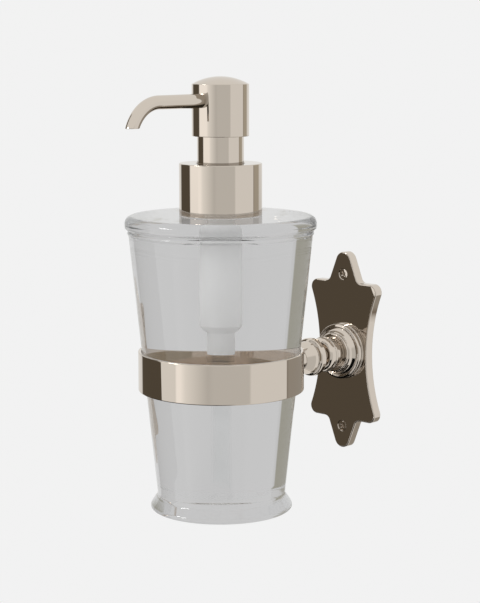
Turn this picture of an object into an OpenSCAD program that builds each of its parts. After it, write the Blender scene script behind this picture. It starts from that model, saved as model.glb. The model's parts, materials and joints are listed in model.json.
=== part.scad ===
// Wall mounted soap dispenser: a tapered glass bottle with a metal lotion pump,
// held in a ring on a turned arm and an ornamental wall plate.
// Millimetres. +Z is up, the wall is the plane y = 0 and the room lies towards -Y.
// The origin is on the back of the wall plate, on the axis of the arm.

/* [Bottle] */
// Height from the foot to the flat top of the glass
bottle_h = 115.5; // [95:0.25:140]
// Radius of the body just under the rim
body_top_r = 35.7; // [29.5:0.05:45]
// Radius of the body just above the foot
body_base_r = 25.1; // [20:0.1:32]
// How far the rim stands out past the body
rim_over = 1.4; // [0.8:0.1:2.5]
// How far the foot stands out past the body
foot_over = 2.8; // [2.2:0.1:3.4]
// Height of the flared foot
foot_h = 6.6; // [5.6:0.1:9]
// Thickness of the glass wall
glass_t = 3; // [2:0.1:4]
// Thickness of the glass base
base_t = 8; // [5:0.5:12]
// Thickness of the flat glass top
top_t = 4; // [3:0.1:6]
// Thickness of the neck wall
neck_t = 2.1; // [1.6:0.1:2.8]
// Height of the neck above the flat top
neck_h = 11; // [10:0.1:13]
// How far the neck's beads stand out
neck_bead = 0.9; // [0.5:0.1:1.2]

/* [Ring and arm] */
// Height of the ring band
ring_h = 15.4; // [10:0.1:22]
// Wall of the ring band
ring_t = 1.35; // [1:0.05:2.5]
// Height of the ring's middle above the arm's axis
ring_rise = 2.2; // [-2:0.1:3]
// Height of the arm's axis above the bottle's foot
arm_above_foot = 52.7; // [45:0.1:62]
// Gap between the glass and the ring's upper edge
ring_gap = 0.1; // [0.05:0.01:0.3]
// Radius of the stub that is brazed to the ring
stub_r = 4.4; // [3.8:0.1:5.2]
// Length of the stub between the ring and the knob
stub_len = 13; // [8:0.1:20]
// Radius of the knob at its rim
knob_r = 7.9; // [7:0.1:10]
// Length of the knob
knob_len = 10.6; // [10:0.1:14]
// Radius of the turned post at its ridge
post_r = 7.4; // [6.8:0.1:9]
// Length of the turned post
post_len = 10.6; // [10:0.1:14]
// Distance of the post's ridge from the rosette
ridge_off = 5.2; // [4:0.1:5.6]
// Radius of the rosette at its rim
rosette_r = 11.7; // [10.5:0.1:13]
// Thickness of the rosette
rosette_len = 6.4; // [6:0.1:9]
// Radius of the stud that joins the arm to the plate
stud_r = 2.5; // [2:0.1:3]

/* [Wall plate] */
// Thickness of the plate
plate_t = 4; // [3.2:0.1:6]
// Width of the plate across its corners, before they are rounded
plate_w = 35.6; // [32:0.1:44]
// Width of the plate at its waist
waist_w = 26; // [24.5:0.1:30]
// Height of the plate between its shoulders
shoulder_h = 58.6; // [50:0.1:70]
// Height of the plate from tongue tip to tongue tip
plate_h = 83.8; // [80:0.1:100]
// Radius of the tongue's round end
tongue_r = 4.2; // [4:0.1:5.5]
// Chamfer along the plate's front edge
plate_chamfer = 0.5; // [0.2:0.1:0.8]

/* [Fixings] */
// Distance between the two wall screws
screw_pitch = 65; // [63:0.5:70]
// Radius of a wall screw's shank
screw_r = 1.25; // [1:0.05:1.5]
// Radius of a wall screw's countersunk head
screw_head_r = 2.2; // [2:0.1:2.4]
// Length of a wall screw, head and all
screw_len = 8; // [7:0.5:30]

/* [Pump head] */
// How far the push button stands out past the neck sleeve
head_over = 2; // [1.6:0.1:4]
// Height of the push button's straight side
head_h = 19.8; // [18:0.1:24]
// Rise of the button's domed top
dome_h = 2.95; // [1.5:0.05:4]
// Wall of the button shell
head_t = 1.2; // [0.8:0.1:1.5]
// Radius of the neck sleeve under the button
sleeve_r = 9; // [7.5:0.05:11]
// Height of the sleeve that shows at rest
sleeve_show = 10.3; // [8:0.1:14]
// Travel of the button when it is pressed
stroke = 9.5; // [5:0.1:9.5]
// Distance from the pump's axis to the middle of the spout's mouth
spout_reach = 45.7; // [38:0.1:60]
// Height of the spout's straight run above the button's lower edge
spout_rise = 13.6; // [12:0.1:15]
// Radius of the spout tube
spout_r = 2.7; // [2.4:0.05:3]
// Radius of the spout's bore
spout_bore_r = 2; // [1.5:0.1:2.1]
// Radius of the spout's bend, along its middle
bend_r = 14.3; // [10:0.1:18]
// Drop from the spout's straight run to its mouth
spout_drop = 9.15; // [6:0.05:10]

/* [Collar] */
// Wall of the plastic closure inside the collar
liner_t = 1.35; // [1.1:0.05:3]
// Height of the collar
collar_h = 20.15; // [19:0.05:24]
// Wall of the collar shell
collar_t = 0.9; // [0.6:0.1:1]
// Gap around the neck sleeve where it enters the collar
sleeve_gap = 0.4; // [0.3:0.05:0.6]

/* [Pump engine] */
// Space between the stem and the cylinder's bore
annulus = 1.5; // [1.4:0.05:2]
// Wall of the pump cylinder
cylinder_t = 1; // [0.8:0.1:1.2]
// Length of the pump cylinder below the collar's cup
cylinder_len = 47; // [42:0.5:60]
// Radius of the pump stem
stem_r = 3; // [2.4:0.1:3.6]
// Running clearance of the stem and the piston
running_gap = 0.05; // [0.02:0.01:0.08]
// Radius of the dip tube
dip_r = 2.6; // [2.2:0.1:3]
// Wall of the dip tube
dip_t = 0.6; // [0.4:0.1:0.9]
// Gap between the dip tube and the bottle's floor
dip_gap = 2; // [1:0.5:6]
// Radius of the inlet ball
ball_r = 1.9; // [1.7:0.1:2.2]
// Radius of the spring's wire
wire_r = 0.4; // [0.3:0.05:0.5]
// Turns of the spring
spring_turns = 7; // [5:1:9]

/* [Hidden] */
$fn = 96;
// Gap between pieces of two bodies that rest on each other
touch = 0.02;

// Radii of the pieces around the pump, from the inside out
head_r = sleeve_r + head_over;
core_r = head_r - head_t;
cup_gap = 0.35;
cup_wall = 1.05;
cup_in_r = sleeve_r + cup_gap;
cup_r = cup_in_r + cup_wall;
cup_clear = 0.2;
neck_bore_r = cup_r + cup_clear;
neck_r = neck_bore_r + neck_t;
closure_clear = 0.15;
liner_bore_r = neck_r + neck_bead + closure_clear;
liner_r = liner_bore_r + liner_t;
collar_r = liner_r + collar_t;
bore_r = stem_r + annulus;
cylinder_r = bore_r + cylinder_t;

// Heights of the bottle
foot_z = -arm_above_foot;
top_z = foot_z + bottle_h;
floor_z = foot_z + base_t;
foot_top_z = foot_z + foot_h;
rim_h = 7.6;
body_top_z = top_z - rim_h;
rim_r = body_top_r + rim_over;
// The foot's profile: a small round, a bulge and a cove that share one slope
foot_edge = 0.7;
foot_bulge = 2.1;
foot_cove = 3.5;
foot_lean = 33;
foot_r = body_base_r + foot_over;
neck_top_z = top_z + neck_h;
// Outer radius of the tapered body at a height
function body_r(z) = body_base_r + (body_top_r - body_base_r) * (z - foot_top_z) / (body_top_z - foot_top_z);

// The ring and the stack of turned pieces between it and the wall
ring_z0 = ring_rise - ring_h / 2;
ring_z1 = ring_rise + ring_h / 2;
ring_in_r = body_r(ring_z1) + ring_gap;
ring_out_r = ring_in_r + ring_t;
rosette_y1 = plate_t + rosette_len;
post_y1 = rosette_y1 + post_len;
knob_y1 = post_y1 + knob_len;
reach = knob_y1 + stub_len + ring_out_r;
spigot_r = 3.2;
neck_in_r = 4.3;
spigot_len = 2;

// Heights of the pump
collar_top_z = top_z + collar_h;
head_z0 = collar_top_z + sleeve_show;
head_z1 = head_z0 + head_h;
spout_z = head_z0 + spout_rise;
sleeve_t = 0.8;
sleeve_in_head = 1.2;
sleeve_in_collar = 3;
sleeve_z0 = collar_top_z - sleeve_in_collar;
gasket_t = 0.8;
flange_t = 1;
flange_z0 = neck_top_z + gasket_t;
flange_z1 = flange_z0 + flange_t;
liner_top_t = 1.4;
cup_floor_z = sleeve_z0 - stroke - 1.3;
cup_t = 1;
bush_flange_t = 1;
bush_flange_r = sleeve_r - sleeve_t - 0.7;
bush_len = 5;
cylinder_z0 = cup_floor_z - cylinder_len;
seat_h = 2.4;
inlet_r = 1.3;
socket_len = 10;
socket_t = 1;
ball_z = cylinder_z0 + ball_r * sqrt(2) - inlet_r + touch;
spring_z0 = cylinder_z0 + seat_h + touch;
piston_len = 6;
piston_top_z = cup_floor_z - bush_len - 1;
piston_z0 = piston_top_z - piston_len;
stem_z0 = piston_z0;
stem_z1 = spout_z - spout_r - 1.6;
stem_bore_r = 1.1;
valve_r = 1.5;
valve_bore_r = 1.9;
valve_floor_z = stem_z1 - 7;
core_z0 = head_z0 + sleeve_in_head;
core_z1 = head_z1 - 1.4;

// Points on an arc about a centre, from angle a0 to a1 in degrees
function arc(c, r, a0, a1, n = 8) =
    [for (i = [0 : n]) let (a = a0 + (a1 - a0) * i / n) [c[0] + r * cos(a), c[1] + r * sin(a)]];

// Places a shape that is drawn about the Z axis on the bottle's axis
module on_bottle_axis() { translate([0, -reach, 0]) children(); }

// Turns a shape about the Z axis so that it lies on the arm's axis, growing out of the wall
module on_arm_axis() { rotate([90, 0, 0]) children(); }

// A tube or a disc between two heights; r_in of 0 is solid
module tube(r_out, r_in, z0, z1) {
    translate([0, 0, z0]) difference() {
        cylinder(r = r_out, h = z1 - z0);
        if (r_in > 0) translate([0, 0, -1]) cylinder(r = r_in, h = z1 - z0 + 2);
    }
}

// ---- Wall plate ----

corner_r = 3.4;
half_w = plate_w / 2;
half_waist = waist_w / 2;
half_shoulder = shoulder_h / 2;
tongue_tip = plate_h / 2;
tongue_c = tongue_tip - tongue_r;
corner_c = [half_w - corner_r, half_shoulder - corner_r];
// The waist is a circle that meets the corner's circle from outside
waist_off = corner_c[0] - half_waist;
waist_R = (waist_off * waist_off + corner_c[1] * corner_c[1] - corner_r * corner_r)
    / (2 * (corner_r + waist_off));
waist_cx = half_waist + waist_R;
waist_a = atan2(corner_c[1], waist_cx - corner_c[0]);
// The tongue's straight side leans in, and a fillet joins it to the shoulder
tongue_lean = 21.8;
fillet_r = 2.6;
side_x = tongue_r * cos(tongue_lean);
side_z = tongue_c + tongue_r * sin(tongue_lean);
fillet_z = half_shoulder + fillet_r;
side_off = side_x * cos(tongue_lean) + side_z * sin(tongue_lean);
fillet_x = (side_off + fillet_r - fillet_z * sin(tongue_lean)) / cos(tongue_lean);

// A quarter of the plate's outline, from the waist to the tongue's tip, drawn in by d
function plate_quarter(d) = concat(
    arc([waist_cx, 0], waist_R + d, 180, 180 - waist_a, 12),
    arc(corner_c, corner_r - d, -waist_a, 90, 9),
    arc([fillet_x, fillet_z], fillet_r + d, 270, 180 + tongue_lean, 6),
    arc([0, tongue_c], tongue_r - d, tongue_lean, 90, 8));
function reversed(p) = [for (i = [len(p) - 1 : -1 : 0]) p[i]];
function inner(p) = [for (i = [1 : len(p) - 2]) p[i]];
// The whole outline, anticlockwise from the right of the waist
function plate_outline(d) = let (q = plate_quarter(d)) concat(
    q,
    [for (p = inner(reversed(q))) [-p[0], p[1]]],
    [for (p = q) [-p[0], -p[1]]],
    [for (p = inner(reversed(q))) [p[0], -p[1]]]);

// The plate's solid: its outline at the back, below the chamfer and at the front
module plate_blank() {
    rings = [[0, 0], [plate_t - plate_chamfer, 0], [plate_t, plate_chamfer]];
    n = len(plate_outline(0));
    points = [for (r = rings, p = plate_outline(r[1])) [p[0], -r[0], p[1]]];
    sides = [for (k = [0 : len(rings) - 2], i = [0 : n - 1])
        let (j = (i + 1) % n) [k * n + i, (k + 1) * n + i, (k + 1) * n + j, k * n + j]];
    back = [for (i = [0 : n - 1]) i];
    front = [for (i = [n - 1 : -1 : 0]) (len(rings) - 1) * n + i];
    polyhedron(points = points, faces = concat([back], [front], sides));
}

screw_clear = 0.1;
stud_in_plate = plate_t - 1;
// The plain shank in the plate is a little thicker than the threaded end behind it
shank_r = screw_r + 0.05;
head_cone_h = screw_head_r - shank_r;
head_inset = 0.25;

module backplate() {
    color("tan") difference() {
        plate_blank();
        for (s = [-1, 1]) translate([0, 0, s * screw_pitch / 2]) on_arm_axis() {
            translate([0, 0, -1]) cylinder(r = shank_r + screw_clear, h = plate_t + 2);
            translate([0, 0, plate_t - head_inset - head_cone_h])
                cylinder(r1 = shank_r + screw_clear, r2 = screw_head_r + screw_clear, h = head_cone_h);
            translate([0, 0, plate_t - head_inset]) cylinder(r = screw_head_r + screw_clear, h = 1);
        }
        on_arm_axis() translate([0, 0, plate_t - stud_in_plate]) cylinder(r = stud_r, h = plate_t);
    }
}

// ---- Fixings ----

tip_h = 0.5;
slot_w = 0.55;
slot_len = 2.4;
slot_depth = 0.5;

// A countersunk screw with a cross recess, its head just under the plate's face
module wall_screw() {
    face = plate_t - head_inset;
    difference() {
        rotate_extrude() polygon([
            [0, face - screw_len], [screw_r - tip_h, face - screw_len], [screw_r, face - screw_len + tip_h],
            [screw_r, 0], [shank_r, 0], [shank_r, face - head_cone_h], [screw_head_r, face], [0, face]]);
        for (a = [45, 135]) translate([0, 0, face]) rotate([0, 0, a])
            cube([slot_len, slot_w, 2 * slot_depth], center = true);
    }
}

module wall_screws() {
    color("tan") for (s = [-1, 1]) translate([0, 0, s * screw_pitch / 2]) on_arm_axis() wall_screw();
}

// ---- Arm ----

stud_in_post = post_len - 2.5;

// Stud that holds the plate, the rosette and the post together
module arm_stud() {
    color("peru") on_arm_axis()
        tube(stud_r, 0, plate_t - stud_in_plate, rosette_y1 + stud_in_post);
}

// Domed rosette: a back foot, a groove, a rounded rim and a dished face up to a small bead
module rosette() {
    f = plate_t;
    rim_c = [rosette_r - 0.9, f + 2];
    face_y = f + rosette_len - 1.7;
    bead_r = post_r + 0.7;
    dish_r = rosette_r - bead_r - 1.4;
    color("tan") on_arm_axis() rotate_extrude() polygon(concat(
        [[stud_r, f], [rosette_r + 0.2, f], [rosette_r + 0.2, f + 0.7], [rosette_r - 0.5, f + 1]],
        arc(rim_c, 0.9, -60, 80, 7),
        arc([bead_r + dish_r, face_y + 0.5], dish_r, 265, 185, 8),
        arc([bead_r - 0.8, face_y + 0.8], 0.8, -35, 90, 5),
        [[post_r - 0.7, face_y + 1.7], [stud_r, face_y + 1.7]]));
}

// Turned post: a plain band, a ridge, and a bell that rounds in to a narrow neck
module turned_post() {
    ridge_y = rosette_y1 + ridge_off;
    ridge_t = 0.5;
    bell_r = 2.4;
    color("tan") on_arm_axis() difference() {
        rotate_extrude() polygon(concat(
            [[0, rosette_y1], [post_r - 0.7, rosette_y1], [post_r - 0.4, ridge_y - ridge_t]],
            arc([post_r - ridge_t, ridge_y], ridge_t, -45, 60, 5),
            arc([post_r - 0.3 - bell_r, ridge_y + ridge_t], bell_r, 8, 72, 8),
            arc([neck_in_r + 1.2, post_y1 - 0.7], 1.2, 235, 180, 5),
            [[neck_in_r, post_y1], [0, post_y1]]));
        tube(stud_r, 0, rosette_y1 - 1, rosette_y1 + stud_in_post);
        tube(spigot_r, 0, post_y1 - spigot_len, post_y1 + 1);
    }
}

// Knob: a spigot, a rounded rim, a groove and a domed face that runs down to the ring's stub
module knob() {
    rim_c = post_y1 + 3.2;
    face_r = knob_r - 1.15;
    groove_y = rim_c + 2.1;
    color("tan") on_arm_axis() rotate_extrude() polygon(concat(
        [[0, post_y1 - spigot_len], [spigot_r, post_y1 - spigot_len], [spigot_r, post_y1],
            [neck_in_r, post_y1], [neck_in_r, post_y1 + 0.5]],
        arc([knob_r - 1.4, rim_c], 1.4, -75, 60, 8),
        [[knob_r - 1.1, groove_y - 0.5], [knob_r - 1.5, groove_y]],
        arc([face_r - 1, groove_y + 1], 1, -20, 45, 4),
        arc([stub_r - 2, groove_y + 0.2], face_r - stub_r + 1.7, 32, 62, 5),
        [[stub_r, knob_y1], [0, knob_y1]]));
}

// Stub that is brazed to the ring: it flares at the ring and is cut to the ring's outside
module ring_stub() {
    flare = 1;
    end_y = knob_y1 + stub_len;
    color("tan") difference() {
        on_arm_axis() rotate_extrude() polygon(concat(
            [[0, knob_y1], [stub_r, knob_y1]],
            arc([stub_r + 1.6 * flare, end_y - 2.4 * flare], 1.6 * flare, 180, 112, 6),
            [[stub_r + flare, end_y - 0.6], [stub_r + flare, end_y + stub_r], [0, end_y + stub_r]]));
        on_bottle_axis() tube(ring_out_r, 0, ring_z0 - 5, ring_z1 + 5);
    }
}

// Ring band with its edges eased
module ring_band() {
    e = 0.25;
    color("tan") on_bottle_axis() rotate_extrude() polygon([
        [ring_in_r, ring_z0 + e], [ring_in_r + e, ring_z0], [ring_out_r - e, ring_z0],
        [ring_out_r, ring_z0 + e], [ring_out_r, ring_z1 - e], [ring_out_r - e, ring_z1],
        [ring_in_r + e, ring_z1], [ring_in_r, ring_z1 - e]]);
}

// ---- Bottle ----

// Outside of the bottle from the middle of the foot to the neck's bore
function bottle_outside() = concat(
    [[0, foot_z]],
    arc([foot_r - foot_edge, foot_z + foot_edge], foot_edge, -90, 0, 5),
    arc([foot_r - foot_bulge, foot_z + foot_edge], foot_bulge, 6, foot_lean, 4),
    arc([body_base_r + foot_cove, foot_top_z], foot_cove, 180 + foot_lean, 180, 6),
    [[body_top_r, body_top_z]],
    arc([body_top_r - 0.4, body_top_z + 0.9], 0.8, -30, 60, 4),
    arc([rim_r - 1.3, top_z - 4.1], 1.3, -60, 0, 4),
    arc([rim_r - 2.9, top_z - 2.9], 2.9, 0, 90, 8),
    [[neck_r, top_z]],
    neck_beads(),
    [[neck_r, neck_top_z - 0.4], [neck_r - 0.4, neck_top_z], [neck_bore_r, neck_top_z]]);
// Two plain beads stand for the screw thread
function neck_beads() = [for (z = [top_z + 3, top_z + 6.5])
    each [[neck_r, z], [neck_r + neck_bead, z + 0.8], [neck_r + neck_bead, z + 1.3], [neck_r, z + 2.1]]];
// Inside of the bottle from the neck's bore down to the middle of the floor
inside_round = 4;
under_top_z = top_z - top_t;
function bottle_inside() = concat(
    [[neck_bore_r, under_top_z]],
    arc([body_r(under_top_z) - glass_t - inside_round, under_top_z - inside_round], inside_round, 90, 6, 6),
    arc([body_r(floor_z) - glass_t - inside_round, floor_z + inside_round], inside_round, -6, -90, 6),
    [[0, floor_z]]);

module bottle() {
    color("whitesmoke", 0.4) on_bottle_axis()
        rotate_extrude() polygon(concat(bottle_outside(), bottle_inside()));
}

// ---- Pump engine ----

module neck_gasket() {
    color("white") on_bottle_axis() tube(neck_r - 0.3, neck_bore_r + 0.1, neck_top_z, flange_z0);
}

// Housing: a flange on the neck, a cup for the sleeve, the cylinder and the dip tube's socket
module pump_housing() {
    color("white") on_bottle_axis() rotate_extrude() polygon([
        [neck_r, flange_z0], [neck_r, flange_z1], [cup_in_r, flange_z1], [cup_in_r, cup_floor_z],
        [bore_r, cup_floor_z], [bore_r, cylinder_z0 + seat_h], [ball_r + 0.5, cylinder_z0 + seat_h],
        [ball_r + 0.5, cylinder_z0 + ball_r + 0.5 - inlet_r], [inlet_r, cylinder_z0],
        [inlet_r, cylinder_z0 - 1], [dip_r, cylinder_z0 - 1], [dip_r, cylinder_z0 - 1 - socket_len],
        [dip_r + socket_t, cylinder_z0 - 1 - socket_len], [dip_r + socket_t, cylinder_z0 - 2.5],
        [cylinder_r, cylinder_z0], [cylinder_r, cup_floor_z - cup_t], [cup_r, cup_floor_z - cup_t],
        [cup_r, flange_z0]]);
}

// Bush that closes the cylinder and guides the stem
module guide_bush() {
    color("white") on_bottle_axis() difference() {
        union() {
            tube(bore_r, 0, cup_floor_z - bush_len, cup_floor_z);
            tube(bush_flange_r, 0, cup_floor_z, cup_floor_z + bush_flange_t);
        }
        tube(stem_r + running_gap, 0, cup_floor_z - bush_len - 1, cup_floor_z + bush_flange_t + 1);
    }
}

// Dip tube with a slanted lower end
module dip_tube() {
    z0 = floor_z + dip_gap;
    color("ghostwhite") on_bottle_axis() difference() {
        tube(dip_r, dip_r - dip_t, z0, cylinder_z0 - 1);
        translate([0, 0, z0]) rotate([0, 35, 0]) translate([0, 0, -10]) cube([40, 40, 20], center = true);
    }
}

module inlet_ball() {
    color("lightgray") on_bottle_axis() translate([0, 0, ball_z]) sphere(r = ball_r);
}

// Compression spring, swept ring by ring along its helix
module return_spring() {
    sides = 8;
    steps = 16 * spring_turns;
    coil_r = bore_r - wire_r - 0.25;
    z0 = spring_z0 + wire_r;
    rise = piston_z0 - touch - wire_r - z0;
    points = [for (i = [0 : steps], j = [0 : sides - 1])
        let (t = 360 * spring_turns * i / steps, a = -360 * j / sides, r = coil_r + wire_r * cos(a))
            [r * cos(t), r * sin(t), z0 + rise * i / steps + wire_r * sin(a)]];
    skin = [for (i = [0 : steps - 1], j = [0 : sides - 1]) let (k = (j + 1) % sides)
        [i * sides + j, i * sides + k, (i + 1) * sides + k, (i + 1) * sides + j]];
    start = [for (j = [sides - 1 : -1 : 0]) j];
    finish = [for (j = [0 : sides - 1]) steps * sides + j];
    color("silver") on_bottle_axis() polyhedron(points = points, faces = concat([start], skin, [finish]));
}

// ---- Collar ----

module collar_shell() {
    e = 0.3;
    hole = sleeve_r + sleeve_gap;
    color("tan") on_bottle_axis() rotate_extrude() polygon([
        [liner_r, top_z + 0.1], [collar_r - 0.1, top_z + 0.1], [collar_r, top_z + 0.2],
        [collar_r, collar_top_z - e], [collar_r - e, collar_top_z], [hole + e, collar_top_z],
        [hole, collar_top_z - e], [hole, collar_top_z - collar_t], [liner_r, collar_top_z - collar_t]]);
}

// Plastic closure inside the collar; its top presses the housing's flange on the neck
module closure_liner() {
    lip_z = flange_z1 + liner_top_t;
    color("white") on_bottle_axis() rotate_extrude() polygon([
        [liner_bore_r, top_z + 0.3], [liner_r, top_z + 0.3], [liner_r, collar_top_z - collar_t],
        [liner_r - 1.5, collar_top_z - collar_t], [liner_r - 1.5, lip_z], [cup_in_r + 0.3, lip_z],
        [cup_in_r + 0.3, flange_z1], [liner_bore_r, flange_z1]]);
}

// ---- Plunger and head ----

// Piston: two sealing lips on a sleeve that the stem turns in
module piston() {
    r = bore_r - running_gap;
    lip_h = 1.2;
    groove_d = 0.7;
    color("lightsteelblue") on_bottle_axis() rotate_extrude() polygon([
        [stem_r + running_gap, piston_z0], [r, piston_z0], [r, piston_z0 + lip_h],
        [r - groove_d, piston_z0 + lip_h + groove_d], [r - groove_d, piston_top_z - lip_h - groove_d],
        [r, piston_top_z - lip_h], [r, piston_top_z], [stem_r + running_gap, piston_top_z]]);
}

// Stem: the bore that lifts the soap, a shoulder over the piston and a seat for the outlet ball
module stem() {
    shoulder_r = stem_r + annulus / 2;
    shoulder_z = piston_top_z + running_gap;
    color("white") on_bottle_axis() difference() {
        union() {
            tube(stem_r, 0, stem_z0, stem_z1);
            tube(shoulder_r, 0, shoulder_z, shoulder_z + 0.8);
        }
        tube(stem_bore_r, 0, stem_z0 - 1, stem_z1 + 1);
        tube(valve_bore_r, 0, valve_floor_z, stem_z1 + 1);
        translate([0, 0, valve_floor_z - (valve_bore_r - stem_bore_r)])
            cylinder(r1 = stem_bore_r, r2 = valve_bore_r, h = valve_bore_r - stem_bore_r);
    }
}

valve_z = valve_floor_z - (valve_bore_r - stem_bore_r) + valve_r * sqrt(2) - stem_bore_r + touch;

module outlet_ball() {
    color("lightgray") on_bottle_axis() translate([0, 0, valve_z]) sphere(r = valve_r);
}

module neck_sleeve() {
    color("tan") on_bottle_axis() tube(sleeve_r, sleeve_r - sleeve_t, sleeve_z0, core_z0);
}

// Plastic core: holds the stem and leads the soap across to the spout
module head_core() {
    color("white") on_bottle_axis() difference() {
        tube(core_r, 0, core_z0, core_z1);
        tube(stem_r, 0, core_z0 - 1, stem_z1);
        tube(valve_r + 0.15, 0, stem_z1 - 1, spout_z);
        translate([0, 0, spout_z]) rotate([90, 0, 0]) {
            cylinder(r = spout_bore_r, h = core_r + 1);
            translate([0, 0, spout_seat]) cylinder(r = spout_r, h = core_r);
        }
    }
}

// Button: a domed cup over the core with a hole for the spout
module head_shell() {
    dome_R = (head_r * head_r + dome_h * dome_h) / (2 * dome_h);
    dome_c = head_z1 + dome_h - dome_R;
    edge_a = acos(head_r / dome_R);
    color("tan") on_bottle_axis() difference() {
        rotate_extrude() polygon(concat(
            [[sleeve_r, head_z0], [head_r - 0.15, head_z0], [head_r, head_z0 + 0.15]],
            arc([0, dome_c], dome_R, edge_a, 90, 10),
            [[0, core_z1], [core_r, core_z1], [core_r, core_z0], [sleeve_r, core_z0]]));
        translate([0, 0, spout_z]) rotate([90, 0, 0]) cylinder(r = spout_r, h = head_r + 2);
    }
}

spout_seat = stem_r + 1;
bend_y = sqrt(bend_r * bend_r - (bend_r - spout_drop) * (bend_r - spout_drop));
straight_y = spout_reach - bend_y;

// Spout: a straight tube and a bend, cut level at the mouth
module spout() {
    cut_w = 4 * spout_r;
    color("tan") on_bottle_axis() translate([0, 0, spout_z]) difference() {
        spout_run(spout_r, 0);
        spout_run(spout_bore_r, 1);
        translate([-cut_w / 2, -2 * spout_reach, -spout_drop - bend_r])
            cube([cut_w, 2 * spout_reach, bend_r]);
    }
}

// A straight run and a quarter bend of one radius; over makes it longer at its inner end
module spout_run(r, over) {
    rotate([90, 0, 0]) translate([0, 0, spout_seat - over])
        cylinder(r = r, h = straight_y - spout_seat + over);
    translate([0, -straight_y, -bend_r]) rotate([90, 0, -90])
        rotate_extrude(angle = 90) translate([bend_r, 0]) circle(r = r);
}

backplate();
wall_screws();
arm_stud();
rosette();
turned_post();
knob();
ring_stub();
ring_band();
bottle();
neck_gasket();
pump_housing();
guide_bush();
dip_tube();
inlet_ball();
return_spring();
collar_shell();
closure_liner();
piston();
stem();
outlet_ball();
neck_sleeve();
head_core();
head_shell();
spout();
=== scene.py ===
# %% [markdown]
# # A wall mounted soap dispenser
# A tapered glass bottle carries a metal lotion pump. It hangs in a ring on a turned arm, which is fixed to an
# ornamental wall plate. Nearly every piece of it was made on a lathe or a turning mould, so nearly every piece here
# is an outline turned about an axis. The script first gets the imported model, which fixes every size and place, and
# then makes a finer piece for each node that can be seen.

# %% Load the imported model
import json
import math

import bpy
import numpy as np
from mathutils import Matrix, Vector
from mathutils.geometry import tessellate_polygon


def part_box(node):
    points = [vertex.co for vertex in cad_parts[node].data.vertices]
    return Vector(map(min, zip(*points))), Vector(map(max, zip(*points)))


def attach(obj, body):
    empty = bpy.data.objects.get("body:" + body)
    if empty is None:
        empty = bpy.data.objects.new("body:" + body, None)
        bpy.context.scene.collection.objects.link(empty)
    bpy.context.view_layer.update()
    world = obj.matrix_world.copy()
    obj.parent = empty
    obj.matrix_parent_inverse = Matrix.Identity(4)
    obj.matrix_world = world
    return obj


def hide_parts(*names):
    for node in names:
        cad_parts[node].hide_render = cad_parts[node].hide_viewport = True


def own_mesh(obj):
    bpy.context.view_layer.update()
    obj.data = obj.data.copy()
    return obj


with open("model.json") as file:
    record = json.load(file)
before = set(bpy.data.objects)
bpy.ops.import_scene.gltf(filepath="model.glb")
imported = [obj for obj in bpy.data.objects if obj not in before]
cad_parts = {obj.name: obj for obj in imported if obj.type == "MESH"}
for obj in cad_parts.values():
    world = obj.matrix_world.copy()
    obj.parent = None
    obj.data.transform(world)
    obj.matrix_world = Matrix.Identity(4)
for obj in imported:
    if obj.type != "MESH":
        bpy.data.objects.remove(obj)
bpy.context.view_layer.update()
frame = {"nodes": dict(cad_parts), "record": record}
BODY_OF = {node: body for body, nodes in frame["record"]["behaviour"]["bodies"].items() for node in nodes}
SLOT_OF = {part["node"]: part["material_slot"] for part in frame["record"]["subparts"]}

# %% [markdown]
# ## Sizes from the frame
# The script works in millimetres and turns to metres when it fills a mesh. Every height and radius that a node's
# box can give is read from that box, so a piece can't drift away from the part that it stands for. What a box
# can't give, such as the thickness of a wall, is a named value beside the piece that uses it.

# %% Read heights and radii from the boxes
MM = 0.001


def span(node, axis):
    """Lowest and highest value of a node along an axis, in millimetres."""
    low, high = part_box(node)
    return low[axis] / MM, high[axis] / MM


def half_width(node):
    """Half of a node's width along x, which is its radius where it is round."""
    low, high = span(node, 0)
    return (high - low) / 2


PUMP_Y = sum(span("ring_band", 1)) / 2
foot_z, neck_top_z = span("bottle", 2)
rim_r = half_width("bottle")
NECK_H = 11
top_z = neck_top_z - NECK_H
print(f"bottle: axis at y {PUMP_Y:.2f}, foot {foot_z:.2f}, flat top {top_z:.2f}, rim radius {rim_r:.2f}")

# %% [markdown]
# ## The camera
# The view is three quarters from the right of the arm and a little above it. A long lens at 0.65 m keeps the
# bottle's sides nearly straight. The camera is placed by its azimuth about the bottle's axis, its distance and its
# height, and turned by two small angles.

# %% Place the camera
VIEW_AZIMUTH = math.radians(44.6)
VIEW_DISTANCE = 0.649
VIEW_HEIGHT = 0.1288
VIEW_TILT = math.radians(8.74)
VIEW_PAN = math.radians(0.654)
VIEW_ROLL = math.radians(-0.063)
SENSOR_HEIGHT = 36
LENS = 100.73

to_camera = Vector((math.sin(VIEW_AZIMUTH), -math.cos(VIEW_AZIMUTH), 0))
to_right = Vector((math.cos(VIEW_AZIMUTH), math.sin(VIEW_AZIMUTH), 0))


def make_camera():
    """Stands at azimuth, distance and height, looks back at the axis, then pans right, tilts down and rolls."""
    data = bpy.data.cameras.new("camera")
    data.sensor_fit = "VERTICAL"
    data.sensor_height = SENSOR_HEIGHT
    data.lens = LENS
    data.clip_end = 50
    camera = bpy.data.objects.new("camera", data)
    bpy.context.scene.collection.objects.link(camera)
    camera.location = Vector((0, PUMP_Y * MM, VIEW_HEIGHT)) + to_camera * VIEW_DISTANCE
    ahead = -to_camera * math.cos(VIEW_PAN) + to_right * math.sin(VIEW_PAN)
    aim = ahead * math.cos(VIEW_TILT) - Vector((0, 0, 1)) * math.sin(VIEW_TILT)
    camera.rotation_euler = aim.to_track_quat("-Z", "Y").to_euler()
    camera.rotation_euler.rotate_axis("Z", VIEW_ROLL)
    bpy.context.scene.camera = camera
    return camera


camera = make_camera()
print("camera at", [round(v, 4) for v in camera.location])

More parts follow.
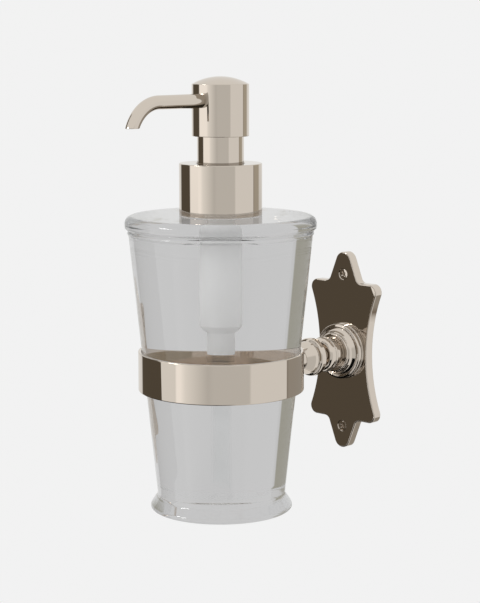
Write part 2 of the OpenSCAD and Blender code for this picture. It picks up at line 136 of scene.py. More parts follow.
# %% [markdown]
# ## Tools for materials
# A material is a small graph of nodes. `Graph` shortens the two things that every graph needs, adding a node and
# joining sockets. Effects that several finishes share are node groups with named inputs and outputs, so each finish
# can place them with its own values.

# %% A helper that builds node graphs
class Graph:
    """Adds nodes to a node tree; a value given for a socket is a constant, or the output that feeds it."""

    def __init__(self, tree):
        self.tree = tree

    def node(self, kind, inputs=None, **settings):
        """A new node of a kind, with its settings made first and its inputs filled after."""
        made = self.tree.nodes.new(kind)
        for key, value in settings.items():
            setattr(made, key, value)
        for key, value in (inputs or {}).items():
            if isinstance(value, bpy.types.NodeSocket):
                self.tree.links.new(value, made.inputs[key])
            else:
                made.inputs[key].default_value = value
        return made

    def math(self, operation, *values, clamp=False):
        """The result of one sum on numbers or outputs, kept from 0 to 1 where clamp is on."""
        return self.node("ShaderNodeMath", dict(enumerate(values)), operation=operation, use_clamp=clamp).outputs[0]

    def ramp(self, value, stops):
        """The colour at a value, straight between stops of (value, colour)."""
        made = self.node("ShaderNodeValToRGB", {"Fac": value})
        elements = made.color_ramp.elements
        while len(elements) < len(stops):
            elements.new(1)
        for element, (place, colour) in zip(elements, stops):
            element.position = place
            element.color = (*colour, 1)
        return made.outputs["Color"]

    def scaled(self, value, low, high):
        """Takes a value from 0 to 1 to a value from low to high."""
        return self.node("ShaderNodeMapRange", {"Value": value, "To Min": low, "To Max": high}).outputs["Result"]

    def mask(self, value, low, high):
        """0 where a value is below low, 1 where it is above high, and straight between."""
        return self.node("ShaderNodeMapRange", {"Value": value, "From Min": low, "From Max": high}).outputs["Result"]

    def mix(self, share, first, second):
        """The first colour where the share is 0 and the second where it is 1."""
        first, second = ((*c, 1) if isinstance(c, tuple) else c for c in (first, second))
        return self.node("ShaderNodeMix", {0: share, 6: first, 7: second}, data_type="RGBA").outputs[2]


def new_group(name, inputs, outputs):
    """An empty node group with inputs of these names and default values, and outputs of these names."""
    tree = bpy.data.node_groups.new(name, "ShaderNodeTree")
    for key, value in inputs.items():
        socket = tree.interface.new_socket(key, in_out="INPUT", socket_type="NodeSocketFloat")
        socket.default_value = value
    for key in outputs:
        tree.interface.new_socket(key, in_out="OUTPUT", socket_type="NodeSocketFloat")
    graph = Graph(tree)
    return graph, graph.node("NodeGroupInput"), graph.node("NodeGroupOutput")


# %% [markdown]
# ### Handling marks
# A polished surface is never equally clean. Soft smears come from fingers and drying water, and very fine lines
# come from wiping. The group gives both as masks from 0 to 1, so the metal, the glass and the plastic can each use
# them at their own strength.

# %% The handling marks group
def make_handling():
    """Smear: broad noise above a level. Lines: fine noise drawn out along z, above a level."""
    graph, given, out = new_group(
        "handling_marks", {"Smear size": 25.0, "Line size": 900.0}, ("Smear", "Lines"))
    place = graph.node("ShaderNodeTexCoord").outputs["Object"]
    broad = graph.node("ShaderNodeTexNoise", {
        "Vector": place, "Scale": given.outputs["Smear size"], "Detail": 4.0, "Roughness": 0.55, "Distortion": 0.6})
    smear = graph.mask(broad.outputs["Fac"], 0.42, 0.72)
    stretched = graph.node("ShaderNodeMapping", {"Vector": place, "Rotation": (0.3, 0.2, 0.5), "Scale": (1, 1, 0.04)})
    fine = graph.node("ShaderNodeTexNoise", {
        "Vector": stretched.outputs["Vector"], "Scale": given.outputs["Line size"], "Detail": 2.0})
    lines = graph.mask(fine.outputs["Fac"], 0.6, 0.8)
    graph.tree.links.new(smear, out.inputs["Smear"])
    graph.tree.links.new(lines, out.inputs["Lines"])
    return graph.tree


handling = make_handling()
print("group", handling.name)

# %% [markdown]
# ### Edge wear
# Plating and polish go dull first where an edge is rubbed. Each mesh below carries an attribute named `edge`, which
# is 1 on its small eased corners and 0 elsewhere. The group breaks that mask up with noise so that the wear is
# patchy.

# %% The edge wear group
def make_edge_wear():
    """Wear: the edge mask, times patches of noise, times the amount."""
    graph, given, out = new_group("edge_wear", {"Patch size": 180.0, "Amount": 0.5}, ("Wear",))
    edge = graph.node("ShaderNodeAttribute", attribute_name="edge").outputs["Fac"]
    place = graph.node("ShaderNodeTexCoord").outputs["Object"]
    patch = graph.node("ShaderNodeTexNoise", {"Vector": place, "Scale": given.outputs["Patch size"], "Detail": 3.0})
    worn = graph.math("MULTIPLY", edge, graph.mask(patch.outputs["Fac"], 0.35, 0.65))
    worn = graph.math("MULTIPLY", worn, given.outputs["Amount"])
    graph.tree.links.new(worn, out.inputs["Wear"])
    return graph.tree


edge_wear = make_edge_wear()
print("group", edge_wear.name)

# %% [markdown]
# ### Moulding texture
# Moulded plastic has a faint orange peel from the tool, and a few specks. One group gives its height for the white
# pieces, the clear pieces and the seals.

# %% The moulding texture group
def make_moulded():
    """Height: fine noise with about a third of a broader one."""
    graph, given, out = new_group("moulded_skin", {"Grain size": 1500.0}, ("Height",))
    place = graph.node("ShaderNodeTexCoord").outputs["Object"]
    fine = graph.node("ShaderNodeTexNoise", {"Vector": place, "Scale": given.outputs["Grain size"], "Detail": 2.0})
    broad = graph.node("ShaderNodeTexNoise", {"Vector": place, "Scale": 160.0, "Detail": 1.0})
    height = graph.node("ShaderNodeMix", {0: 0.35, 2: fine.outputs["Fac"], 3: broad.outputs["Fac"]})
    graph.tree.links.new(height.outputs[0], out.inputs["Height"])
    return graph.tree


moulded = make_moulded()
print("group", moulded.name)


# %% A helper that starts a material
def new_material(name, constants, colour):
    """A material with one Principled shader whose constant sockets are set, and its graph."""
    material = bpy.data.materials.new(name)
    material.use_nodes = True
    material.diffuse_color = (*colour, 1)
    graph = Graph(material.node_tree)
    shader = material.node_tree.nodes["Principled BSDF"]
    for key, value in constants.items():
        shader.inputs[key].default_value = value
    return material, graph, shader


# %% [markdown]
# ### Polished nickel
# The plate, arm, ring, collar, sleeve, button and spout are brass, plated with nickel and buffed to a warm mirror.
# Its look comes almost wholly from what it mirrors, so the colour is one warm grey with a slight drift, the
# roughness is very low, and smears and worn edges raise it a little. The spring and the balls are steel and the stud
# is brass, and the same maker gives them their own colour and a duller polish.

# %% The metal materials
def make_metal(name, colour, rough, wear_rough, ripple):
    """Roughness: rough * (1 + smear + lines) + wear * wear_rough, over a colour that drifts by 1% each way."""
    material, graph, shader = new_material(name, {"Metallic": 1.0}, colour)
    marks = graph.node("ShaderNodeGroup", {"Smear size": 38.0, "Line size": 1400.0}, node_tree=handling)
    wear = graph.node("ShaderNodeGroup", {"Patch size": 260.0, "Amount": 0.8}, node_tree=edge_wear)
    place = graph.node("ShaderNodeTexCoord").outputs["Object"]
    drift = graph.node("ShaderNodeTexNoise", {"Vector": place, "Scale": 14.0, "Detail": 2.0})
    paler = tuple(min(1.0, c * 1.01) for c in colour)
    deeper = tuple(c * 0.99 for c in colour)
    base = graph.ramp(drift.outputs["Fac"], [(0.3, deeper), (0.7, paler)])
    rubbed = graph.mix(wear.outputs["Wear"], base, tuple(c * 0.9 for c in colour))
    smeared = graph.math("MULTIPLY", marks.outputs["Smear"], rough)
    lined = graph.math("MULTIPLY", marks.outputs["Lines"], rough)
    worn = graph.math("MULTIPLY", wear.outputs["Wear"], wear_rough)
    total = graph.math("ADD", graph.math("ADD", smeared, lined), graph.math("ADD", worn, rough))
    bump = graph.node("ShaderNodeBump", {"Strength": 0.1, "Distance": ripple, "Height": drift.outputs["Fac"]})
    for key, value in (("Base Color", rubbed), ("Roughness", total), ("Normal", bump.outputs["Normal"])):
        graph.tree.links.new(value, shader.inputs[key])
    return material


nickel = make_metal("polished_nickel", (0.77, 0.69, 0.605), 0.006, 0.05, 0.00001)
steel = make_metal("drawn_steel", (0.62, 0.62, 0.63), 0.10, 0.1, 0.00002)
brass = make_metal("turned_brass", (0.72, 0.55, 0.28), 0.12, 0.1, 0.00003)
print("metals", nickel.name, steel.name, brass.name)

# %% [markdown]
# ### Thick clear glass
# The bottle was blown into a mould, so its wall is thick and not quite even. The body colour is a neutral grey that
# multiplies at every surface that light passes, which gives the thick rim and foot more depth than the walls. A
# broad, shallow ripple bends what is seen through it, and smears touch the gloss.
#
# When such a bottle is full of clear soap, the liquid bends light nearly as much as glass does, so the inner surface
# almost vanishes and the bottle bends light as one solid body. Modelling the liquid would need a piece that the
# object doesn't have. Instead the inner surface gets a second glass whose index is 1, which bends nothing.

# %% The glass material
def make_glass(name, index):
    """Clear glass of a refractive index; roughness is 0.012 * smear."""
    constants = {"Base Color": (0.99, 0.991, 0.992, 1), "Metallic": 0.0, "Transmission Weight": 1.0, "IOR": index}
    material, graph, shader = new_material(name, constants, (0.8, 0.82, 0.82))
    marks = graph.node("ShaderNodeGroup", {"Smear size": 30.0, "Line size": 700.0}, node_tree=handling)
    rough = graph.math("MULTIPLY", marks.outputs["Smear"], 0.012)
    place = graph.node("ShaderNodeTexCoord").outputs["Object"]
    wide = graph.node("ShaderNodeMapping", {"Vector": place, "Scale": (1, 1, 0.35)})
    ripple = graph.node("ShaderNodeTexNoise", {"Vector": wide.outputs["Vector"], "Scale": 45.0, "Detail": 1.0})
    bump = graph.node("ShaderNodeBump", {"Strength": 0.2, "Distance": 0.0001, "Height": ripple.outputs["Fac"]})
    graph.tree.links.new(rough, shader.inputs["Roughness"])
    graph.tree.links.new(bump.outputs["Normal"], shader.inputs["Normal"])
    return material


glass = make_glass("clear_glass", 1.5)
wetted_glass = make_glass("wetted_glass", 1.0)
print("glass", glass.name, wetted_glass.name)


# %% [markdown]
# ### Plastics and seals
# The pump engine is moulded in white plastic, its dip tube is clear, and its seals are soft. They share one maker,
# which takes the colour, how much light goes through, and how rough the skin is. The tube's index is only just above
# 1, because a clear tube that stands in clear liquid hardly shows.

# %% The plastic materials
def make_plastic(name, colour, rough, through=0.0, index=1.45, grain=1500.0, depth=0.00004):
    """Smears darken the colour by up to 4.5% and raise the roughness by up to 35%."""
    constants = {"Metallic": 0.0, "IOR": index, "Transmission Weight": through}
    material, graph, shader = new_material(name, constants, colour)
    marks = graph.node("ShaderNodeGroup", {"Smear size": 60.0, "Line size": 600.0}, node_tree=handling)
    skin = graph.node("ShaderNodeGroup", {"Grain size": grain}, node_tree=moulded)
    shade = graph.ramp(marks.outputs["Smear"], [(0.0, colour), (1.0, tuple(c * 0.955 for c in colour))])
    gloss = graph.scaled(marks.outputs["Smear"], rough, rough * 1.35)
    bump = graph.node("ShaderNodeBump", {"Strength": 0.25, "Distance": depth, "Height": skin.outputs["Height"]})
    for key, value in (("Base Color", shade), ("Roughness", gloss), ("Normal", bump.outputs["Normal"])):
        graph.tree.links.new(value, shader.inputs[key])
    return material


white_plastic = make_plastic("white_plastic", (0.96, 0.96, 0.955), 0.32)
clear_plastic = make_plastic("clear_plastic", (0.985, 0.99, 0.99), 0.04, 1.0, 1.02)
seal = make_plastic("soft_seal", (0.62, 0.64, 0.65), 0.5, grain=2500.0)
MATERIAL_OF = {"nickel": nickel, "glass": glass, "white_plastic": white_plastic, "tube_plastic": clear_plastic,
               "seal": seal, "steel": steel, "brass": brass}
print("plastics", white_plastic.name, clear_plastic.name, seal.name)

# %% [markdown]
# ## Tools for turned pieces
# A turned piece is an outline in the half plane (r, z), carried round an axis. The outline is a list of stretches.
# A stretch is an array of points, the direction of travel at each point, and whether it is a small eased corner.
# The outline runs anticlockwise round the solid, so the solid is always on its left.

# %% Straight and round stretches of an outline
EASED_R = 0.6


def line(start, end, count=2):
    """count evenly spaced points: start + (end - start) t, for t from 0 to 1."""
    start, end = np.array(start, float), np.array(end, float)
    t = np.linspace(0, 1, count)[:, None]
    way = (end - start) / np.linalg.norm(end - start)
    return start + (end - start) * t, np.tile(way, (count, 1)), False


def arc(centre, radius, start, stop, count=0):
    """centre + radius (cos a, sin a), for a from start to stop in degrees."""
    count = count or max(4, int(abs(stop - start) / 7) + 2)
    a = np.radians(np.linspace(start, stop, count))
    turn = np.sign(stop - start)
    points = np.array(centre, float) + radius * np.stack([np.cos(a), np.sin(a)], 1)
    return points, turn * np.stack([-np.sin(a), np.cos(a)], 1), radius < EASED_R


def eased(*corners, closed=False):
    """Straight lines through corners (r, z, radius), each corner rounded by an arc of its radius.

    An arc touches both of its lines at radius * tan(turn / 2) from the corner."""
    points = np.array([c[:2] for c in corners], float)
    radii = [c[2] for c in corners]
    n = len(points)
    ends = range(n) if closed else range(1, n - 1)
    touch = {i: (points[i], points[i]) for i in range(n)}
    arcs = {}
    for i in ends:
        u = points[i] - points[i - 1]
        v = points[(i + 1) % n] - points[i]
        u, v = u / np.linalg.norm(u), v / np.linalg.norm(v)
        turn = math.atan2(u[0] * v[1] - u[1] * v[0], u @ v)
        if radii[i] <= 0 or abs(turn) < 1e-4:
            continue
        back = radii[i] * math.tan(abs(turn) / 2)
        side = math.copysign(1, turn)
        centre = points[i] - u * back + side * radii[i] * np.array([-u[1], u[0]])
        start = math.degrees(math.atan2(-side * u[0], side * u[1]))
        arcs[i] = arc(centre, radii[i], start, start + math.degrees(turn))
        touch[i] = (points[i] - u * back, points[i] + v * back)
    outline = []
    for i in range(n if closed else n - 1):
        if i in arcs:
            outline.append(arcs[i])
        j = (i + 1) % n
        if np.linalg.norm(touch[j][0] - touch[i][1]) > 1e-6:
            outline.append(line(touch[i][1], touch[j][0]))
    return outline


# %% [markdown]
# ## From outline to mesh
# `revolve` works on whole arrays. A point (r, z) at angle a goes to (r cos a, r sin a, z), and a placing function
# then carries it to where the piece is. The placing function may also bend or press the surface, as for a thread.
# The normals come from the same function: two small steps along the surface are carried through it, and their cross
# product is the normal. They are stored on the mesh, so flat faces stay flat next to small eased corners.

# %% Turn an outline into a closed mesh
AROUND = 128
STEP = 1e-3


def carried(place, points, way):
    """The direction `way` at `points`, carried through the placing function by a central difference."""
    return (place(points + STEP * way) - place(points - STEP * way)) / (2 * STEP)


def unit(vectors):
    """Each vector divided by its length."""
    return vectors / np.maximum(np.linalg.norm(vectors, axis=-1, keepdims=True), 1e-12)


def mesh_object(name, points, faces, normals, edge, material):
    """A smooth mesh from points in millimetres, with one stored normal for each corner of each face."""
    mesh = bpy.data.meshes.new(name)
    mesh.from_pydata((np.asarray(points) * MM).tolist(), [], faces)
    mesh.polygons.foreach_set("use_smooth", np.ones(len(faces), bool))
    mesh.normals_split_custom_set(normals.tolist())
    mesh.attributes.new("edge", "FLOAT", "POINT").data.foreach_set("value", np.asarray(edge, np.float32))
    mesh.materials.append(material)
    made = bpy.data.objects.new(name, mesh)
    bpy.context.scene.collection.objects.link(made)
    return made


def revolve(name, outline, place, material, around=AROUND):
    """Carries an outline round the z axis and through place(); an end on the axis becomes a single point."""
    rings, sharp, first, last, way_first, way_last = [], [], [], [], [], []
    start = 0
    for points, ways, small in outline:
        ids = start + np.arange(len(points))
        rings.append(points[:-1])
        sharp.append(np.arange(len(points) - 1) > (0 if small else len(points)))
        first.append(ids[:-1])
        last.append(ids[1:])
        way_first.append(ways[:-1])
        way_last.append(ways[1:])
        start = ids[-1]
    rings.append(outline[-1][0][-1:])
    rings = np.concatenate(rings)
    sharp = np.concatenate(sharp + [[False]])
    first, last = np.concatenate(first), np.concatenate(last)
    way_first, way_last = np.concatenate(way_first), np.concatenate(way_last)
    closed = np.linalg.norm(rings[0] - rings[-1]) < 1e-6
    if closed:
        rings, sharp = rings[:-1], sharp[:-1]
        last = np.where(last == len(rings), 0, last)

    a = np.linspace(0, 2 * np.pi, around, endpoint=False)
    out = np.stack([np.cos(a), np.sin(a), 0 * a], 1)
    along = np.stack([-np.sin(a), np.cos(a), 0 * a], 1)
    up = np.array([0, 0, 1.0])
    local = rings[:, None, :1] * out + rings[:, None, 1:] * up
    pole = rings[:, 0] < 1e-6
    count = np.where(pole, 1, around)
    offset = np.concatenate([[0], np.cumsum(count)[:-1]])
    index = offset[:, None] + np.where(pole[:, None], 0, np.arange(around))
    points = np.concatenate([place(local[i])[: count[i]] for i in range(len(rings))])

    def normals_at(ids, ways):
        """Direction round the axis x direction along the outline, both carried through place()."""
        here = local[ids].reshape(-1, 3)
        travel = (ways[:, None, :1] * out + ways[:, None, 1:] * up).reshape(-1, 3)
        across = np.tile(along, (len(ids), 1))
        return unit(np.cross(carried(place, here, across), carried(place, here, travel))).reshape(-1, around, 3)

    n_first, n_last = normals_at(first, way_first), normals_at(last, way_last)
    i, j = index[first], index[last]
    quads = np.stack([i, np.roll(i, -1, 1), np.roll(j, -1, 1), j], 2)
    corner = np.stack([n_first, np.roll(n_first, -1, 1), np.roll(n_last, -1, 1), n_last], 2)
    faces, normals = [], []
    for rows, keep in ((~pole[first] & ~pole[last], [0, 1, 2, 3]), (pole[first], [0, 2, 3]), (pole[last], [0, 1, 2])):
        faces += quads[rows][:, :, keep].reshape(-1, len(keep)).tolist()
        normals.append(corner[rows][:, :, keep].reshape(-1, 3))
    edge = np.repeat(sharp.astype(float), count)
    return mesh_object(name, points, faces, np.concatenate(normals), edge, material)


# %% [markdown]
# ## Placing pieces
# Two axes carry nearly everything. The pump's axis is upright at the bottle's middle. The arm's axis runs out of the
# wall, so a turned piece's own z becomes the distance from the wall. `settle` rides a new piece on the body that the
# record gives its node, and hides that node; `turned` gives it the finish that the record gives the node.

# %% The two axes and the last step for every piece
def smooth(x):
    """0 below 0, 1 above 1, and 3x^2 - 2x^3 between."""
    x = np.clip(x, 0, 1)
    return x * x * (3 - 2 * x)


def upright(points):
    """(x, y, z) to (x, y + PUMP_Y, z)."""
    return points + np.array([0, PUMP_Y, 0])


def outward(points):
    """(x, y, z) to (x, -z, y): z becomes the distance out of the wall."""
    return np.stack([points[..., 0], -points[..., 2], points[..., 1]], -1)


def settle(piece, node):
    """Rides a piece on its node's body, which the record gives, and hides the node."""
    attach(piece, BODY_OF[node])
    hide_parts(node)
    print(f"{piece.name}: {len(piece.data.vertices)} points, {len(piece.data.polygons)} faces")
    return piece


def turned(node, outline, place=upright, around=AROUND):
    """A turned piece for a node, in the finish that the record gives it."""
    return settle(revolve(node + "_fine", outline, place, MATERIAL_OF[SLOT_OF[node]], around), node)


# %% [markdown]
# ## The glass bottle
# The outline climbs from the middle of the foot over a small round, a bulge and a cove to the straight tapered
# side, then over two soft beads and the rolled rim to the flat top and the neck. Inside it comes back down to a
# thick floor. The neck carries one and a half turns of a rounded thread, which the placing function presses out of
# the plain neck. A real thread is about twice as high. This one is kept low, because the closure here turns without
# rising, and a full thread would cut into it.

# %% Sizes of the bottle
BODY_TOP_R = rim_r - 1.4
BODY_BASE_R = 25.1
FOOT_R = 27.9
RIM_H = 7.6
GLASS_T = 3
BASE_T = 8
TOP_T = 4
NECK_BORE_R = 10.6
NECK_R = 12.7
THREAD_H = 0.5
THREAD_PITCH = 4.2
THREAD_START = 2.6
THREAD_TURNS = 1.5
THREAD_W = 2.2


def thread_height(turns, height):
    """A ridge on the line height = start + pitch * turns: cos^2 across it, fading in and out at its two ends."""
    total = 0
    for lap in range(math.ceil(THREAD_TURNS)):
        run = turns + lap
        across = np.clip((height - THREAD_START - THREAD_PITCH * run) / THREAD_W, -0.5, 0.5)
        fade = np.clip(np.minimum(run, THREAD_TURNS - run) * 8, 0, 1)
        total = np.maximum(total, np.cos(np.pi * across) ** 2 * fade)
    return total


def with_thread(points, wall_r, ridge, shift, low, high):
    """Moves a round wall out by ridge * thread_height between two heights, with the thread raised by shift."""
    r = np.hypot(points[..., 0], points[..., 1])
    turns = np.arctan2(points[..., 1], points[..., 0]) / (2 * np.pi) + 0.5
    height = points[..., 2] - top_z
    on_wall = (abs(r - wall_r) < 0.1) & (height > low) & (height < high)
    lift = np.where(on_wall, ridge * thread_height(turns, height - shift), 0)
    scale = 1 + lift / np.maximum(r, 1)
    return upright(points * np.stack([scale, scale, np.ones_like(scale)], -1))


def threaded(points):
    """The neck's outer wall with its thread standing out, on the pump's axis."""
    return with_thread(points, NECK_R, THREAD_H, 0, 0.9, 2 * NECK_H)


def side_r(z):
    """Outer radius of the tapered side at a height."""
    low, high = foot_z + 6.6, top_z - RIM_H
    return BODY_BASE_R + (BODY_TOP_R - BODY_BASE_R) * (z - low) / (high - low)


# %% The bottle's outline and mesh
def bottle_outline():
    """From the middle of the foot up the outside, over the rim and the neck, and down the inside to the floor."""
    body_top = top_z - RIM_H
    floor, ceiling = foot_z + BASE_T, top_z - TOP_T
    outside = eased(
        (0, foot_z, 0), (FOOT_R, foot_z, 0.7), (FOOT_R, foot_z + 1.32, 2.1), (BODY_BASE_R, foot_z + 5.56, 3.5),
        (BODY_TOP_R, body_top, 0))
    bead = arc((BODY_TOP_R - 0.4, body_top + 0.9), 0.8, -30, 60)
    lip = arc((rim_r - 1.3, top_z - 4.1), 1.3, -60, 0)
    roll = arc((rim_r - 2.9, top_z - 2.9), 2.9, 0, 90)
    joints = [line(outside[-1][0][-1], bead[0][0]), bead, line(bead[0][-1], lip[0][0]), lip,
              line(lip[0][-1], roll[0][0]), roll]
    neck = [line(roll[0][-1], (NECK_R + 0.8, top_z)), arc((NECK_R + 0.8, top_z + 0.8), 0.8, 270, 180)]
    neck += [line((NECK_R, top_z + 0.8), (NECK_R, neck_top_z - 0.4), 48)]
    inside = eased(
        (NECK_R, neck_top_z - 0.4, 0), (NECK_R, neck_top_z, 0.4), (NECK_BORE_R, neck_top_z, 0.4),
        (NECK_BORE_R, ceiling, 0.8), (side_r(ceiling) - GLASS_T, ceiling, 4), (side_r(floor) - GLASS_T, floor, 4),
        (0, floor, 0))
    return outside + joints + neck + inside


bottle = turned("bottle", bottle_outline(), threaded, around=192)


def wet_inside(piece):
    """Gives the second finish to the faces whose centres lie in the cavity or in the neck's bore."""
    centres = np.empty(len(piece.data.polygons) * 3)
    piece.data.polygons.foreach_get("center", centres)
    centres = centres.reshape(-1, 3) / MM
    r, z = np.hypot(centres[:, 0], centres[:, 1] - PUMP_Y), centres[:, 2]
    in_cavity = (z > foot_z + BASE_T - 0.01) & (z < top_z - TOP_T + 0.01) & (r < side_r(z) - GLASS_T / 2)
    in_neck = (z > top_z - TOP_T) & (r < NECK_BORE_R + 0.1)
    piece.data.materials.append(wetted_glass)
    piece.data.polygons.foreach_set("material_index", (in_cavity | in_neck).astype(np.int32))
    return int((in_cavity | in_neck).sum())


print("wetted faces", wet_inside(bottle))

# %% [markdown]
# ## The ring and the arm
# The ring is a flat band with its edges eased, and a short bar joins it to the arm. The arm itself is a stack of
# turned pieces on one stud. Next to the wall is the rosette, with a foot, a round shoulder, a dish and a bead. The
# turned post has a band, a ridge and a bell that runs in to a neck. The knob has a round rim, a groove and a domed
# face. All of them are outlines in distance from the wall.

# %% The ring band
ring_z0, ring_z1 = span("ring_band", 2)
ring_out_r = half_width("ring_band")
RING_T = 1.35
ring_in_r = ring_out_r - RING_T
turned("ring_band", eased(
    (ring_in_r, ring_z0, 0.3), (ring_out_r, ring_z0, 0.4), (ring_out_r, ring_z1, 0.4), (ring_in_r, ring_z1, 0.3),
    closed=True), around=192)

# %% The rosette, the post and the knob
plate_t = -span("backplate", 1)[0]
rosette_end = -span("rosette", 1)[0]
post_end = -span("turned_post", 1)[0]
knob_end = -span("knob", 1)[0]
STUD_R = 2.5
STUB_R = 4.4
NECK_IN_R = 4.3
SPIGOT_R = 3.2
SPIGOT_LEN = 2


def rosette_outline():
    """From the stud hole out along the wall side, over foot, groove and rim, down the dish and up the bead."""
    back, front = plate_t, rosette_end
    foot_r = half_width("rosette")
    return eased(
        (STUD_R, back, 0), (foot_r, back, 0.15), (foot_r, back + 0.75, 0.25), (foot_r - 0.7, back + 1.05, 0.2),
        (foot_r - 0.2, back + 1.3, 0.8), (foot_r - 0.2, back + 3.0, 0.9), (foot_r - 1.4, back + 3.3, 0.35),
        (foot_r - 1.9, back + 2.9, 0.3), (8.9, back + 4.2, 1.6), (8.5, back + 5.2, 0.4), (8.1, front - 0.9, 0.3),
        (8.1, front, 0.6), (STUD_R, front, 0), closed=True)


def post_outline():
    """A plain band, a ridge, and a bell that rounds in to the neck."""
    base, end = rosette_end, post_end
    ridge = base + 5.2
    return eased(
        (0, base, 0), (6.7, base, 0.2), (6.9, ridge - 0.75, 0.35), (7.4, ridge - 0.45, 0.3), (7.4, ridge + 0.35, 0.3),
        (7.05, ridge + 0.6, 0.15), (7.0, ridge + 3.0, 2.2), (NECK_IN_R, ridge + 3.9, 0.9), (NECK_IN_R, end, 0.1),
        (0, end, 0))


def knob_outline():
    """A spigot, a rounded rim, a groove and a domed face that runs down to the bar."""
    start, end = post_end, knob_end
    rim = start + 3.2
    groove = rim + 2.1
    return eased(
        (0, start - SPIGOT_LEN, 0), (SPIGOT_R, start - SPIGOT_LEN, 0.1), (SPIGOT_R, start, 0), (NECK_IN_R, start, 0),
        (NECK_IN_R, start + 1.0, 0.8), (7.9, rim - 1.6, 1.0), (7.9, rim + 1.5, 1.1), (6.5, groove - 0.1, 0.2),
        (6.9, groove + 0.6, 0.3), (6.7, groove + 1.9, 1.6), (STUB_R, end, 0.6), (STUB_R - 0.2, end, 0), (0, end, 0))


turned("rosette", rosette_outline(), outward)
turned("turned_post", post_outline(), outward)
turned("knob", knob_outline(), outward)

# %% [markdown]
# The bar between the knob and the ring swells a little where it is brazed on, and its end follows the ring's round
# outside. The placing function slides each point of the flared end along the bar until it reaches the ring.

# %% The bar to the ring
FLARE = 1.0
reach = -PUMP_Y
stub_end = knob_end + 13 - FLARE
SUNK = 0.3


def onto_ring(points):
    """Slides points near the bar's end along z by the gap between the flat end and the ring's round outside."""
    meet = reach - np.sqrt(np.maximum((ring_out_r - SUNK) ** 2 - points[..., 0] ** 2, 1))
    slide = (meet - stub_end) * smooth((points[..., 2] - (stub_end - 5)) / 5)
    return outward(points + np.stack([0 * slide, 0 * slide, slide], -1))


turned("ring_stub", eased(
    (0, knob_end, 0), (STUB_R, knob_end, 0), (STUB_R, stub_end - 1.4, 2.2), (STUB_R + FLARE, stub_end - 0.3, 0.1),
    (STUB_R + FLARE, stub_end, 0), (0, stub_end, 0)), onto_ring, around=96)

# %% [markdown]
# ## The wall plate
# The plate is a flat casting with a waist, four round corners and a tongue above and below. Its outline is a quarter
# made of four arcs that touch, mirrored twice. An arc drawn in by a distance d keeps its centre and changes its
# radius by d, so the eased edges are the same quarter drawn in a little. The faces are filled with flat triangles
# that leave the screw holes open.

# %% The quarter outline of the plate
half_plate_h = span("backplate", 2)[1]
CORNER_R = 3.4
TONGUE_R = 4.2
TONGUE_LEAN = 21.8
FILLET_R = 2.6
HALF_WAIST = 13.0
HALF_SHOULDER = 29.3
HALF_PLATE_W = 17.8


def plate_arcs():
    """(centre, radius, first angle, last angle, side) of each arc; side is 1 where the arc bulges out."""
    corner = np.array([HALF_PLATE_W - CORNER_R, HALF_SHOULDER - CORNER_R])
    off = corner[0] - HALF_WAIST
    waist_r = (off ** 2 + corner[1] ** 2 - CORNER_R ** 2) / (2 * (CORNER_R + off))
    waist_x = HALF_WAIST + waist_r
    waist_a = math.degrees(math.atan2(corner[1], waist_x - corner[0]))
    lean = math.radians(TONGUE_LEAN)
    tongue_z = half_plate_h - TONGUE_R
    side = TONGUE_R + tongue_z * math.sin(lean)
    fillet_z = HALF_SHOULDER + FILLET_R
    fillet_x = (side + FILLET_R - fillet_z * math.sin(lean)) / math.cos(lean)
    return [((waist_x, 0), waist_r, 180, 180 - waist_a, -1), (corner, CORNER_R, -waist_a, 90, 1),
            ((fillet_x, fillet_z), FILLET_R, 270, 180 + TONGUE_LEAN, -1),
            ((0, tongue_z), TONGUE_R, TONGUE_LEAN, 90, 1)]


def plate_ring(inset):
    """The whole outline drawn in by inset, anticlockwise, and the outward direction at each point."""
    points, normals = [], []
    for (centre, radius, start, stop, side), count in zip(plate_arcs(), (30, 14, 9, 18)):
        a = np.radians(np.linspace(start, stop, count))
        way = np.stack([np.cos(a), np.sin(a)], 1)
        points.append(np.array(centre) + (radius - side * inset) * way)
        normals.append(side * way)
    quarter = np.concatenate(points)
    facing = np.concatenate(normals)
    keep = np.concatenate([[True], np.linalg.norm(np.diff(quarter, axis=0), axis=1) > 1e-6])
    quarter, facing = quarter[keep], facing[keep]
    flips = [((1, 1), 1), ((-1, 1), -1), ((-1, -1), 1), ((1, -1), -1)]
    ring = np.concatenate([(quarter * flip)[::way][:-1] for flip, way in flips])
    out = np.concatenate([(facing * flip)[::way][:-1] for flip, way in flips])
    return ring, out


